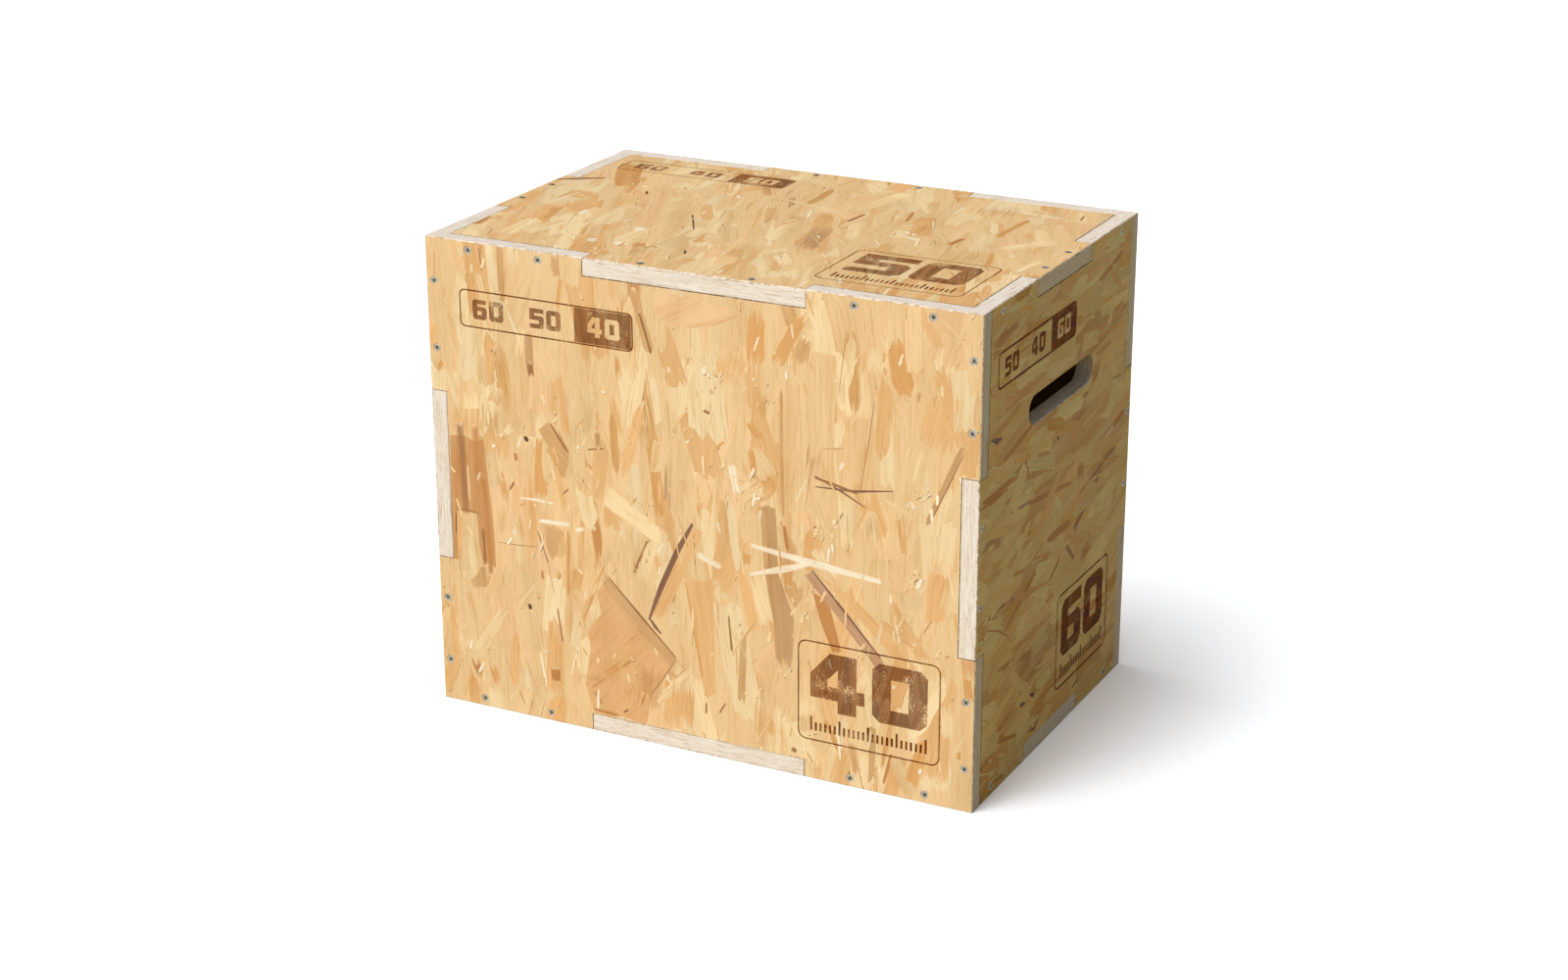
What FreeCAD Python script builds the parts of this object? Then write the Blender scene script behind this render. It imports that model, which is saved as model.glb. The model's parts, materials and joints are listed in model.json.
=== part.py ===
import FreeCAD, Part
import math
import os
import Sketcher
from FreeCAD import Rotation, Vector

# Three-height jumping box: six boards that lock together with finger joints,
# pulled tight by countersunk screws, with a hand slot routed through each end.
# The frame has +Z up, +X along the width and the front at -Y.

doc = FreeCAD.newDocument("jumping_box")

# Driving sizes, in millimetres, and the one angle in degrees.
sizes = {
    "box_width": 600,
    "box_depth": 400,
    "box_height": 500,
    "board_thickness": 18,
    # Fingers and tabs, measured along the edge that they share.
    "width_tab": 240,
    "depth_tab": 140,
    "height_tab": 180,
    "joint_clearance": 0.2,
    # Hand slot, from the top of the box down to its middle.
    "slot_length": 168,
    "slot_height": 30,
    "slot_drop": 130,
    # Tapered wood screw.
    "screw_head": 8,
    "screw_shank": 4,
    "screw_length": 40,
    "head_angle": 90,
    "head_sink": 0.3,
    "screw_clearance": 0.2,
    # Screw places: margins run in from both ends of a finger, the inset from the outside
    # of the box, and pitches lie across a tab.
    "width_margin": 50,
    "height_margin": 45,
    "depth_inset": 47,
    "width_tab_pitch": 120,
    "depth_tab_pitch": 60,
    "height_tab_pitch": 80,
}
sheet = doc.addObject("Spreadsheet::Sheet", "dims")
for row, (alias, size) in enumerate(sizes.items(), start=1):
    sheet.set(f"A{row}", alias)
    sheet.set(f"B{row}", str(size))
    sheet.setAlias(f"B{row}", alias)
doc.recompute()

# Screws and their holes are twelve-sided, which keeps so many of them light.
round_sides = 12

# Distances from the middle of the box, shared by every board that meets there.
half_width = "dims.box_width / 2"
half_depth = "dims.box_depth / 2"
half_height = "dims.box_height / 2"
inner_width = f"{half_width} - dims.board_thickness"
inner_depth = f"{half_depth} - dims.board_thickness"
inner_height = f"{half_height} - dims.board_thickness"
mid_width = f"{half_width} - dims.board_thickness / 2"
mid_depth = f"{half_depth} - dims.board_thickness / 2"
mid_height = f"{half_height} - dims.board_thickness / 2"


def notch(tab):
    return f"dims.{tab} / 2"


def tongue(tab):
    return f"dims.{tab} / 2 - dims.joint_clearance"


# One quarter of each board as seen from outside, x across and y up, from its middle.
# The body runs to half_x and half_y; the middle of its side runs to side_reach over
# side_half, and the middle of its end to end_reach over end_half.
upright_face = {
    "half_x": half_width,
    "half_y": half_height,
    "side_reach": inner_width,
    "side_half": notch("height_tab"),
    "end_reach": inner_height,
    "end_half": notch("width_tab"),
    "screws": [
        (f"{half_width} - dims.width_margin", mid_height),
        ("dims.width_tab / 2 + dims.width_margin", mid_height),
        (mid_width, f"{half_height} - dims.height_margin"),
        (mid_width, "dims.height_tab / 2 + dims.height_margin"),
    ],
}
upright_end = {
    "half_x": inner_depth,
    "half_y": half_height,
    "side_reach": half_depth,
    "side_half": tongue("height_tab"),
    "end_reach": inner_height,
    "end_half": notch("depth_tab"),
    "screws": [
        (mid_depth, "dims.height_tab_pitch / 2"),
        (f"{half_depth} - dims.depth_inset", mid_height),
    ],
    "hand_slot": True,
}
flat_deck = {
    "half_x": inner_width,
    "half_y": inner_depth,
    "side_reach": half_width,
    "side_half": tongue("depth_tab"),
    "end_reach": half_depth,
    "end_half": tongue("width_tab"),
    "screws": [
        ("dims.width_tab_pitch / 2", mid_depth),
        (mid_width, "dims.depth_tab_pitch / 2"),
    ],
}

# How each board stands in the box: its outline, its turn and the middle of its outer face.
upright = Rotation(Vector(1, 0, 0), 90)
boards = {
    "front": (upright_face, upright, ("0", f"-({half_depth})", half_height)),
    "back": (upright_face, Rotation(Vector(0, 0, 1), 180) * upright, ("0", half_depth, half_height)),
    "right": (upright_end, Rotation(Vector(0, 0, 1), 90) * upright, (half_width, "0", half_height)),
    "left": (upright_end, Rotation(Vector(0, 0, 1), -90) * upright, (f"-({half_width})", "0", half_height)),
    "top": (flat_deck, Rotation(), ("0", "0", "dims.box_height")),
    "bottom": (flat_deck, Rotation(Vector(1, 0, 0), 180), ("0", "0", "0")),
}


def origin_plane(body, role):
    return next(item for item in body.Origin.OriginFeatures if item.Role == role)


def new_sketch(body, name, role):
    sketch = body.newObject("Sketcher::SketchObject", name)
    sketch.AttachmentSupport = [(origin_plane(body, role), "")]
    sketch.MapMode = "FlatFace"
    return sketch


def bind(sketch, kind, ends, expression):
    # A dimension of the sketch, tied to the sheet.
    index = sketch.addConstraint(Sketcher.Constraint(kind, *ends, sketch.evalExpression(expression)))
    sketch.setExpression(f"Constraints[{index}]", expression)


def closed_outline(sketch, corners):
    # Straight sides through the corners, each end held to the start of the next.
    count = len(corners)
    for index, corner in enumerate(corners):
        following = corners[(index + 1) % count]
        sketch.addGeometry(Part.LineSegment(Vector(*corner, 0), Vector(*following, 0)))
    for index in range(count):
        sketch.addConstraint(Sketcher.Constraint("Coincident", index, 2, (index + 1) % count, 1))


def stand(item, turn, middle):
    item.Placement = FreeCAD.Placement(Vector(0, 0, 0), turn)
    for axis, expression in zip("xyz", middle):
        item.setExpression(f"Placement.Base.{axis}", expression)


def mirror_both_ways(body):
    # The quarter becomes the whole by reflection across, then up and down.
    for role in ("YZ_Plane", "XZ_Plane"):
        mirrored = body.newObject("PartDesign::Mirrored", f"{body.Name}_mirror")
        mirrored.TransformMode = "Whole shape"
        mirrored.MirrorPlane = (origin_plane(body, role), [""])
        body.Tip = mirrored
        doc.recompute()


def quarter_board(body, outline):
    sketch = new_sketch(body, f"{body.Name}_outline", "XY_Plane")
    half_x, half_y, side_reach, side_half, end_reach, end_half = (
        sketch.evalExpression(outline[key])
        for key in ("half_x", "half_y", "side_reach", "side_half", "end_reach", "end_half")
    )
    closed_outline(sketch, [
        (0, 0),
        (side_reach, 0),
        (side_reach, side_half),
        (half_x, side_half),
        (half_x, half_y),
        (end_half, half_y),
        (end_half, end_reach),
        (0, end_reach),
    ])
    sketch.addConstraint(Sketcher.Constraint("Coincident", 0, 1, -1, 1))
    for side in range(sketch.GeometryCount):
        sketch.addConstraint(Sketcher.Constraint("Vertical" if side % 2 else "Horizontal", side))
    bind(sketch, "DistanceX", (-1, 1, 0, 2), outline["side_reach"])
    bind(sketch, "DistanceY", (-1, 1, 1, 2), outline["side_half"])
    bind(sketch, "DistanceX", (-1, 1, 3, 2), outline["half_x"])
    bind(sketch, "DistanceY", (-1, 1, 3, 2), outline["half_y"])
    bind(sketch, "DistanceX", (-1, 1, 4, 2), outline["end_half"])
    bind(sketch, "DistanceY", (-1, 1, 5, 2), outline["end_reach"])
    pad = body.newObject("PartDesign::Pad", f"{body.Name}_board")
    pad.Profile = sketch
    pad.Reversed = True
    pad.setExpression("Length", "dims.board_thickness")
    doc.recompute()


def hand_slot(body):
    # A round-ended slot right through the end board, long enough for four fingers.
    sketch = new_sketch(body, f"{body.Name}_slot_outline", "XY_Plane")
    reach = "(dims.slot_length - dims.slot_height) / 2"
    rise = f"{half_height} - dims.slot_drop"
    x = sketch.evalExpression(reach)
    y = sketch.evalExpression(rise)
    radius = sizes["slot_height"] / 2
    facing = Vector(0, 0, 1)
    quarter_turn = math.pi / 2
    right_end = Part.Circle(Vector(x, y, 0), facing, radius)
    left_end = Part.Circle(Vector(-x, y, 0), facing, radius)
    sketch.addGeometry(Part.ArcOfCircle(right_end, -quarter_turn, quarter_turn))
    sketch.addGeometry(Part.ArcOfCircle(left_end, quarter_turn, 3 * quarter_turn))
    sketch.addGeometry(Part.LineSegment(Vector(x, y + radius, 0), Vector(-x, y + radius, 0)))
    sketch.addGeometry(Part.LineSegment(Vector(-x, y - radius, 0), Vector(x, y - radius, 0)))
    for ends in ((0, 2, 2, 1), (2, 2, 1, 1), (1, 2, 3, 1), (3, 2, 0, 1)):
        sketch.addConstraint(Sketcher.Constraint("Tangent", *ends))
    sketch.addConstraint(Sketcher.Constraint("Symmetric", 0, 3, 1, 3, -2))
    bind(sketch, "DistanceX", (-1, 1, 0, 3), reach)
    bind(sketch, "DistanceY", (-1, 1, 0, 3), rise)
    bind(sketch, "Radius", (0,), "dims.slot_height / 2")
    whole = body.Shape.Volume
    pocket = body.newObject("PartDesign::Pocket", f"{body.Name}_slot")
    pocket.Profile = sketch
    pocket.Type = "ThroughAll"
    doc.recompute()
    if body.Shape.Volume >= whole:
        raise RuntimeError(f"{body.Label}: the hand slot removed nothing")


def board_blank(name, outline, turn, middle):
    body = doc.addObject("PartDesign::Body", name)
    stand(body, turn, middle)
    quarter_board(body, outline)
    mirror_both_ways(body)
    if outline.get("hand_slot"):
        hand_slot(body)
    return body


def pointed_solid(name, rings, point):
    # A closed solid through level rings, each a radius and a depth, down to a point.
    sections = []
    for number, (radius, depth) in enumerate(rings, start=1):
        ring = doc.addObject("Part::RegularPolygon", f"{name}_ring_{number}")
        ring.Polygon = round_sides
        ring.setExpression("Circumradius", radius)
        ring.setExpression("Placement.Base.z", f"-({depth})")
        sections.append(ring)
    tip = doc.addObject("Part::Vertex", f"{name}_point")
    tip.setExpression("Placement.Base.z", f"-({point})")
    solid = doc.addObject("Part::Loft", name)
    solid.Sections = sections + [tip]
    solid.Solid = True
    solid.Ruled = True
    return solid


def repeat(label, piece, places, turn, middle):
    # The piece at each place of the quarter and at its reflections across and up.
    copies = []
    for across, up in places:
        for flip_across in ("", "-"):
            for flip_up in ("", "-"):
                copy = doc.addObject("App::Link", f"{label}_copy")
                copy.LinkedObject = piece
                copy.setExpression("Placement.Base.x", f"{flip_across}({across})")
                copy.setExpression("Placement.Base.y", f"{flip_up}({up})")
                copies.append(copy)
    group = doc.addObject("Part::Compound", label)
    group.Links = copies
    stand(group, turn, middle)
    return group


# A flat head on its conical seat, then one long taper to the point.
flare = "tan(dims.head_angle / 2 * 1 deg)"
neck = f"dims.head_sink + (dims.screw_head - dims.screw_shank) / 2 / {flare}"
screw_rings = [
    ("dims.screw_head / 2", "dims.head_sink"),
    ("dims.screw_shank / 2", neck),
]
screw = pointed_solid("screw", screw_rings, "dims.head_sink + dims.screw_length")
# The hole that it fills: countersunk in its own board, narrowing into the edge of the next.
bore_rings = [
    (f"dims.screw_head / 2 + dims.head_sink * {flare} + dims.screw_clearance", "0"),
    ("dims.screw_shank / 2 + dims.screw_clearance", neck),
]
bore_point = "dims.head_sink + dims.screw_length * (1 + 2 * dims.screw_clearance / dims.screw_shank)"
bore = pointed_solid("bore", bore_rings, bore_point)

blanks = {}
screw_groups = []
bore_groups = []
for side, (outline, turn, middle) in boards.items():
    blanks[side] = board_blank(f"{side}_blank", outline, turn, middle)
    screw_groups.append(repeat(f"{side}_screws", screw, outline["screws"], turn, middle))
    bore_groups.append(repeat(f"{side}_bores", bore, outline["screws"], turn, middle))
all_bores = doc.addObject("Part::Compound", "all_bores")
all_bores.Links = bore_groups

panels = []
for side, blank in blanks.items():
    panel = doc.addObject("Part::Cut", f"{side}_panel")
    panel.Base = blank
    panel.Tool = all_bores
    panels.append(panel)

doc.recompute()
for item in doc.Objects:
    if "Invalid" in item.State or "Error" in item.State:
        raise RuntimeError(f"{item.Label}: {item.State}")
nodes = panels + screw_groups
for node in nodes:
    if node.Shape.isNull() or not node.Shape.isValid():
        raise RuntimeError(f"{node.Label}: no valid shape")

os.makedirs("parts", exist_ok=True)
for node in nodes:
    node.Shape.exportStep(f"parts/{node.Label}.step")
    print(node.Label, len(node.Shape.Solids), "solids", round(node.Shape.Volume), "mm3")
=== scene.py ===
import bpy
import bmesh
import json
import math
import random
from mathutils import Matrix, Vector
from mathutils.geometry import delaunay_2d_cdt

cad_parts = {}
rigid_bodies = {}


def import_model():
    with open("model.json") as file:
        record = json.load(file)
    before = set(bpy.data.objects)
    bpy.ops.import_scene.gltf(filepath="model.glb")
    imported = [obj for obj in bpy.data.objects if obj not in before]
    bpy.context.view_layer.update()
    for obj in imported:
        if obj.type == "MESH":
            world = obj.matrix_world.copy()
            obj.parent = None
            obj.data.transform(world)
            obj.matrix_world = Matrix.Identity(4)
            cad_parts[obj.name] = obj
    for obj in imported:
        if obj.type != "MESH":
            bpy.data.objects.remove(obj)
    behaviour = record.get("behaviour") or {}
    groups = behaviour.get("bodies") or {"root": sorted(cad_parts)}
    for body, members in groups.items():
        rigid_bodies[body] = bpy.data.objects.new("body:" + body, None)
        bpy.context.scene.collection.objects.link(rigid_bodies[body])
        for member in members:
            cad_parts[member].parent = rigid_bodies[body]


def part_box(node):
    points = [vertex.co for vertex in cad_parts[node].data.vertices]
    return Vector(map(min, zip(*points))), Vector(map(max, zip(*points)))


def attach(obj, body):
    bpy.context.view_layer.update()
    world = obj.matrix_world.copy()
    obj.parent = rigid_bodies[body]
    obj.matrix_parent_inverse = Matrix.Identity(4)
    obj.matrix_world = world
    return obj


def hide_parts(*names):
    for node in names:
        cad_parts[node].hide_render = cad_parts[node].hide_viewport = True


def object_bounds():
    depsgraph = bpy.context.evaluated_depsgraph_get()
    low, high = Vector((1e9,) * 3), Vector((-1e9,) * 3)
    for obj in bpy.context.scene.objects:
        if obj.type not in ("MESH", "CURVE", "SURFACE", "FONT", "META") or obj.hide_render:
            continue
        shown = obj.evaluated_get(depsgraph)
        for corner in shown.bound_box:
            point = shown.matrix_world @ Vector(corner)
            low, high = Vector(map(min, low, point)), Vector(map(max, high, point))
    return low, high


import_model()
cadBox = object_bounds()
boxWide, boxDeep, boxTall = (1000 * (cadBox[1][i] - cadBox[0][i]) for i in range(3))  # millimetres
topLow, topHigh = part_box("top_panel")
boardThick = 1000 * (topHigh.z - topLow.z)
scene = bpy.context.scene
print("frame loaded, box", round(boxWide), round(boxDeep), round(boxTall), "board", round(boardThick, 1))


def wood(hexText):
    # colour as read off a screen, turned to the linear values that shaders want
    parts = [int(hexText[i:i + 2], 16) / 255 for i in (0, 2, 4)]
    return tuple(p / 12.92 if p <= 0.04045 else ((p + 0.055) / 1.055) ** 2.4 for p in parts) + (1.0,)


def show(name, data):
    made = bpy.data.objects.new(name, data)
    scene.collection.objects.link(made)
    return made


# one bench for shader and geometry trees: a socket is fed by a plain value or by another socket
class Bench:
    def __init__(self, tree):
        self.tree = tree

    def put(self, socket, value):
        if isinstance(value, bpy.types.NodeSocket):
            self.tree.links.new(value, socket)
        else:
            socket.default_value = value

    def node(self, kind, feeds=None, **settings):
        made = self.tree.nodes.new(kind)
        for name, value in settings.items():
            setattr(made, name, value)
        for name, value in (feeds or {}).items():
            self.put(made.inputs[name], value)
        return made

    def read(self, name):
        return self.node("ShaderNodeAttribute", attribute_name=name).outputs

    def split(self, vector):
        return self.node("ShaderNodeSeparateXYZ", {0: vector}).outputs

    def place(self, *values):
        return self.node("ShaderNodeCombineXYZ", dict(enumerate(values))).outputs[0]

    def sums(self, operation, *values):
        return self.node("ShaderNodeMath", dict(enumerate(values)), operation=operation).outputs[0]

    def noise(self, place, cells, detail=3.0, roughness=0.55, twist=0.0):
        stretched = self.node("ShaderNodeVectorMath", {0: place, 1: cells}, operation="MULTIPLY").outputs[0]
        feeds = {"Vector": stretched, "Scale": 1.0, "Detail": detail, "Roughness": roughness}
        return self.node("ShaderNodeTexNoise", {**feeds, "Distortion": twist}).outputs["Fac"]

    def spread(self, value, low, high, toLow=0.0, toHigh=1.0):
        feeds = {"Value": value, "From Min": low, "From Max": high, "To Min": toLow, "To Max": toHigh}
        return self.node("ShaderNodeMapRange", feeds, interpolation_type="SMOOTHSTEP").outputs["Result"]

    def ramp(self, value, stops):
        made = self.node("ShaderNodeValToRGB", {"Fac": value})
        marks = made.color_ramp.elements
        while len(marks) < len(stops):
            marks.new(0.5)
        for mark, (at, colour) in zip(marks, stops):
            mark.position = at
            mark.color = wood(colour) if isinstance(colour, str) else colour + (1,)
        return made.outputs["Color"]

    def blend(self, amount, a, b, how="MIX"):
        feeds = {0: amount, 6: a, 7: b}      # factor and the two colours
        return self.node("ShaderNodeMix", feeds, data_type="RGBA", blend_type=how).outputs[2]

    def bump(self, height, strength, distance):
        feeds = {"Height": height, "Strength": strength, "Distance": distance}
        return self.node("ShaderNodeBump", feeds).outputs[0]


# studio: camera found from the box's corners in a 1600 x 1000 frame
studio = {
    "lens": 65.98,
    "cameraPlace": (1.2550, -2.4942, 1.2562),
    "cameraTurn": (69.55, 0.01, 26.76),
    "lamps": {                                     # turn, power and softness of each
        "keyLamp": ((20, 0, -46), 1.92, 44),       # overhead, a little to the left
        "frontLamp": ((81, 0, -24), 2.62, 40),     # low from the front, so it leaves no shadow on the floor
    },
    "skyColour": (1.0, 0.98, 0.92, 1),
    "skyPower": 0.245,
    "floorHalf": 14.0,
    "floorBounce": "918655",                       # what the floor sends back to the boards
    "floorSeen": (1.38, 1.42, 1.50, 1),            # the paper as the camera sees it, a little past white
}


def setStudio():
    camData = bpy.data.cameras.new("photoCamera")
    camData.sensor_width = 36
    camData.lens = studio["lens"]
    camData.clip_end = 60
    scene.camera = show("photoCamera", camData)
    scene.camera.location = studio["cameraPlace"]
    scene.camera.rotation_euler = [math.radians(a) for a in studio["cameraTurn"]]
    for name, (turn, power, softness) in studio["lamps"].items():
        lampData = bpy.data.lights.new(name, "SUN")
        lampData.energy = power
        lampData.angle = math.radians(softness)
        show(name, lampData).rotation_euler = [math.radians(a) for a in turn]
    world = bpy.data.worlds.new("studioAir")
    world.use_nodes = True
    sky = world.node_tree.nodes["Background"]
    sky.inputs["Color"].default_value = studio["skyColour"]
    sky.inputs["Strength"].default_value = studio["skyPower"]
    scene.world = world
    scene.view_settings.view_transform = "Standard"


def floorPaper():
    # the camera and shiny things see pale paper, every other ray a darker and warmer one
    paper = bpy.data.materials.new("paperFloor")
    paper.use_nodes = True
    paper.node_tree.nodes.clear()
    b = Bench(paper.node_tree)
    rays = b.node("ShaderNodeLightPath").outputs
    direct = b.sums("MAXIMUM", rays["Is Camera Ray"], rays["Is Glossy Ray"])
    bounce, seen = (b.node("ShaderNodeBsdfDiffuse", {"Color": colour}).outputs[0]
                    for colour in (wood(studio["floorBounce"]), studio["floorSeen"]))
    choose = b.node("ShaderNodeMixShader", {0: direct, 1: bounce, 2: seen})
    b.node("ShaderNodeOutputMaterial", {"Surface": choose.outputs[0]})
    return paper


def flatSheet(name, x, y):
    mesh = bpy.data.meshes.new(name)
    mesh.from_pydata([(-x, -y, 0), (x, -y, 0), (x, y, 0), (-x, y, 0)], [], [(0, 1, 2, 3)])
    return mesh


def layFloor():
    mesh = flatSheet("paperFloor", studio["floorHalf"], studio["floorHalf"])
    mesh.materials.append(floorPaper())
    floor = show("paperFloor", mesh)


setStudio()
layFloor()
print("studio set")


def newFinish(name):
    material = bpy.data.materials.new(name)
    material.use_nodes = True
    return material, Bench(material.node_tree), material.node_tree.nodes["Principled BSDF"].inputs


# pressed strands: each face of the board knows its own strand and the one that lies under it
strandFinish = {
    # noise cells per metre: along a strand, across it and from one strand to the next
    "streak": (6, 120, 60), "blotch": (14, 40, 40), "fray": (22, 420, 60), "fibre": (24, 620, 90),
    # noise cells per metre of board
    "gaps": (170, 170, 1), "drift": (6, 30, 1), "fleck": (520, 520, 1), "wear": (38, 38, 1),
    # what the wood is multiplied by, from low noise to high
    "driftTint": [(0.30, (0.92, 0.89, 0.84)), (0.50, (1.0, 1.0, 1.0)), (0.75, (1.03, 1.05, 1.08))],
    "figureTint": [(0.33, (0.80, 0.64, 0.44)), (0.43, (0.94, 0.88, 0.78)), (0.52, (1.0, 1.0, 1.0)),
                   (0.66, (1.04, 1.07, 1.11))],
    "threadTint": [(0.32, (0.86, 0.77, 0.65)), (0.46, (1.0, 1.0, 1.0)), (0.66, (1.04, 1.06, 1.09))],
    "burnTint": [(0.40, (0.165, 0.06, 0.02)), (0.60, (0.35, 0.18, 0.095))],
    "worn": (0.74, 0.88, 0.75, 0.0),      # noise at which a burned mark is worn, and how much of it goes
    "lineWorn": (1.0, 1.01, 1.0, 0.5),    # a burn over 1, as on thin lines, wears half as much
    "roughness": (0.52, 0.72),
    "reliefStrength": 0.35,
    "reliefDepth": 0.0005,
}
plainWhite = (1, 1, 1, 1)


def strandGrain(b, kind):
    # a strand's colour, streaked along its own grain as strongly as its figure asks
    span = b.split(b.node("ShaderNodeUVMap", uv_map=kind + "Span").outputs["UV"])
    mood = b.split(b.read(kind + "Mood")["Vector"])
    place = b.place(span[0], span[1], mood[0])
    streak = b.noise(place, strandFinish["streak"], 4, twist=0.5)
    blotch = b.noise(place, strandFinish["blotch"])
    tone = b.sums("MULTIPLY_ADD", blotch, 0.45, b.sums("MULTIPLY", streak, 0.55))
    figure = b.blend(mood[1], plainWhite, b.ramp(tone, strandFinish["figureTint"]))
    colour = b.blend(1.0, b.read(kind + "Colour")["Color"], figure, "MULTIPLY")
    return colour, place, streak, span, mood


def strandFace():
    material, b, shader = newFinish("pressedStrand")
    own, place, streak, span, mood = strandGrain(b, "strand")
    under = strandGrain(b, "under")[0]
    halfLong, halfWide, feather = b.split(b.read("strandBody")["Vector"])
    burnt = b.read("strandBurn")["Fac"]
    board = b.read("boardGrain")["Vector"]

    # frayed strand: it breaks up into fibres towards its sides
    cloud = b.spread(feather, 1.5, 1.6)      # feather over 1.6: a soft cloud without fibres
    side = b.sums("SUBTRACT", b.sums("MULTIPLY", halfWide, 1.15), b.sums("ABSOLUTE", span[1]))
    end = b.sums("SUBTRACT", halfLong, b.sums("ABSOLUTE", span[0]))
    end = b.sums("MULTIPLY", end, b.sums("MULTIPLY_ADD", cloud, 0.9, 0.3))
    fade = b.sums("MULTIPLY", b.sums("MINIMUM", feather, 1.4), halfWide)
    frayed = b.noise(place, strandFinish["fray"], roughness=0.6)
    tear = b.sums("MULTIPLY", fade, b.sums("MULTIPLY_ADD", cloud, -2.5, 3.0))
    near = b.sums("MULTIPLY_ADD", b.sums("SUBTRACT", frayed, 0.5), tear, b.sums("MINIMUM", side, end))
    kept = b.spread(near, 0.0, b.sums("MAXIMUM", fade, 0.00005))
    # a shadow, which has a lift below 0, lies only in the gaps
    gaps = b.spread(b.noise(board, strandFinish["gaps"]), 0.44, 0.56)
    shadow = b.sums("LESS_THAN", mood[2], 0.0)
    kept = b.sums("MULTIPLY", kept, b.sums("MAXIMUM", gaps, b.sums("SUBTRACT", 1.0, shadow)))
    colour = b.blend(kept, under, own)

    fibre = b.noise(place, strandFinish["fibre"], 4, 0.7)
    colour = b.blend(1.0, colour, b.ramp(fibre, strandFinish["threadTint"]), "MULTIPLY")
    drift = b.noise(board, strandFinish["drift"], twist=0.6)
    colour = b.blend(1.0, colour, b.ramp(drift, strandFinish["driftTint"]), "MULTIPLY")

    # burned marks are worn through in flecks
    fleck = b.noise(board, strandFinish["fleck"], 4, 0.7)
    wear = b.noise(board, strandFinish["wear"], 2)
    worn = b.spread(b.sums("MULTIPLY_ADD", wear, 0.9, fleck), *strandFinish["worn"])
    worn = b.sums("MULTIPLY", worn, b.spread(burnt, *strandFinish["lineWorn"]))
    char = b.sums("MULTIPLY", b.sums("MINIMUM", burnt, 1.0), b.sums("SUBTRACT", 1.0, worn))
    tint = b.blend(char, plainWhite, b.ramp(streak, strandFinish["burnTint"]))
    b.put(shader["Base Color"], b.blend(1.0, colour, tint, "MULTIPLY"))

    b.put(shader["Roughness"], b.spread(streak, 0.3, 0.7, *strandFinish["roughness"]))
    b.put(shader["Specular IOR Level"], b.sums("MULTIPLY_ADD", char, -0.14, 0.16))
    lift = b.sums("MULTIPLY_ADD", kept, mood[2], b.sums("MULTIPLY", fibre, 0.25))
    lift = b.sums("MULTIPLY_ADD", char, -0.5, lift)
    b.put(shader["Normal"], b.bump(lift, strandFinish["reliefStrength"], strandFinish["reliefDepth"]))
    return material


# sawn edges: pale layers with fine brown lines that run along the edge, and painted shade in the joint
# grooves and recesses
edgeFinish = {
    # noise cells per metre: along the board both ways, and down through it
    "layer": (24, 24, 700), "thread": (70, 70, 2600), "patch": (30, 30, 60), "speck": (75, 75, 1050),
    "crumb": (130, 130, 130), "crack": (110, 110, 110),
    "pale": [(0.32, "CBB193"), (0.43, "EBDECE"), (0.56, "F3E9DE"), (0.72, "F9F3EC")],
    "patchColour": "E4CFB6", "threadColour": "A67C5A", "darkSpeck": "AA8562", "paleSpeck": "FDF9F3",
    # the dark brown at the end is painted shade for the joint grooves, screw countersinks and slot walls
    "rimColour": "A87C4C", "rimReach": 0.014, "edgeShadeColour": "4A2F1B",
    "reliefStrength": 0.4,
    "reliefDepth": 0.0004,
}


def sawnEdge():
    material, b, shader = newFinish("sawnEdge")
    board = b.read("boardGrain")["Vector"]
    # painted shade in the joint grooves, screw countersinks and slot walls, broken up by a noise
    edgeShade = b.read("strandBurn")["Fac"]
    layer = b.noise(board, edgeFinish["layer"], 5, 0.65, 0.3)
    thread = b.noise(board, edgeFinish["thread"], 3, 0.6)
    patch = b.noise(board, edgeFinish["patch"], 2)
    speck = b.noise(board, edgeFinish["speck"], 5, 0.75)
    crumb = b.noise(board, edgeFinish["crumb"], 5, 0.7)
    crack = b.noise(board, edgeFinish["crack"], 4)
    # the outer strands show as a torn brown rim along the arris
    rim = b.sums("MULTIPLY_ADD", crumb, edgeFinish["rimReach"], b.split(board)[2])
    colour = b.ramp(layer, edgeFinish["pale"])
    for amount, name in (
            (b.spread(patch, 0.40, 0.70, 0.0, 0.22), "patchColour"),
            (b.spread(thread, 0.30, 0.40, 0.85, 0.0), "threadColour"),
            (b.spread(speck, 0.33, 0.44, 0.75, 0.0), "darkSpeck"),
            (b.spread(speck, 0.58, 0.68, 0.0, 0.8), "paleSpeck"),
            (b.spread(rim, 0.0058, 0.0076, 0.0, 0.65), "rimColour"),
            (b.sums("MULTIPLY", edgeShade, b.spread(crack, 0.40, 0.50, 0.45, 1.0)), "edgeShadeColour")):
        colour = b.blend(amount, colour, wood(edgeFinish[name]))
    b.put(shader["Base Color"], colour)
    b.put(shader["Roughness"], b.spread(thread, 0.3, 0.7, 0.75, 0.9))
    shader["Specular IOR Level"].default_value = 0.2
    height = b.sums("ADD", thread, layer)
    b.put(shader["Normal"], b.bump(height, edgeFinish["reliefStrength"], edgeFinish["reliefDepth"]))
    return material


zincFinish = {
    "mottle": (900, 900, 900),
    "plate": [(0.3, "96917F"), (0.5, "B8B19D"), (0.72, "D2CBB8")],
    # dark colour of the painted shade in the cross recess and round the sunk head
    "recessShade": "38332A",
    "recessShadeShare": 0.55,
    "metallic": 0.55,
    "roughness": (0.34, 0.52),
}


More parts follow.
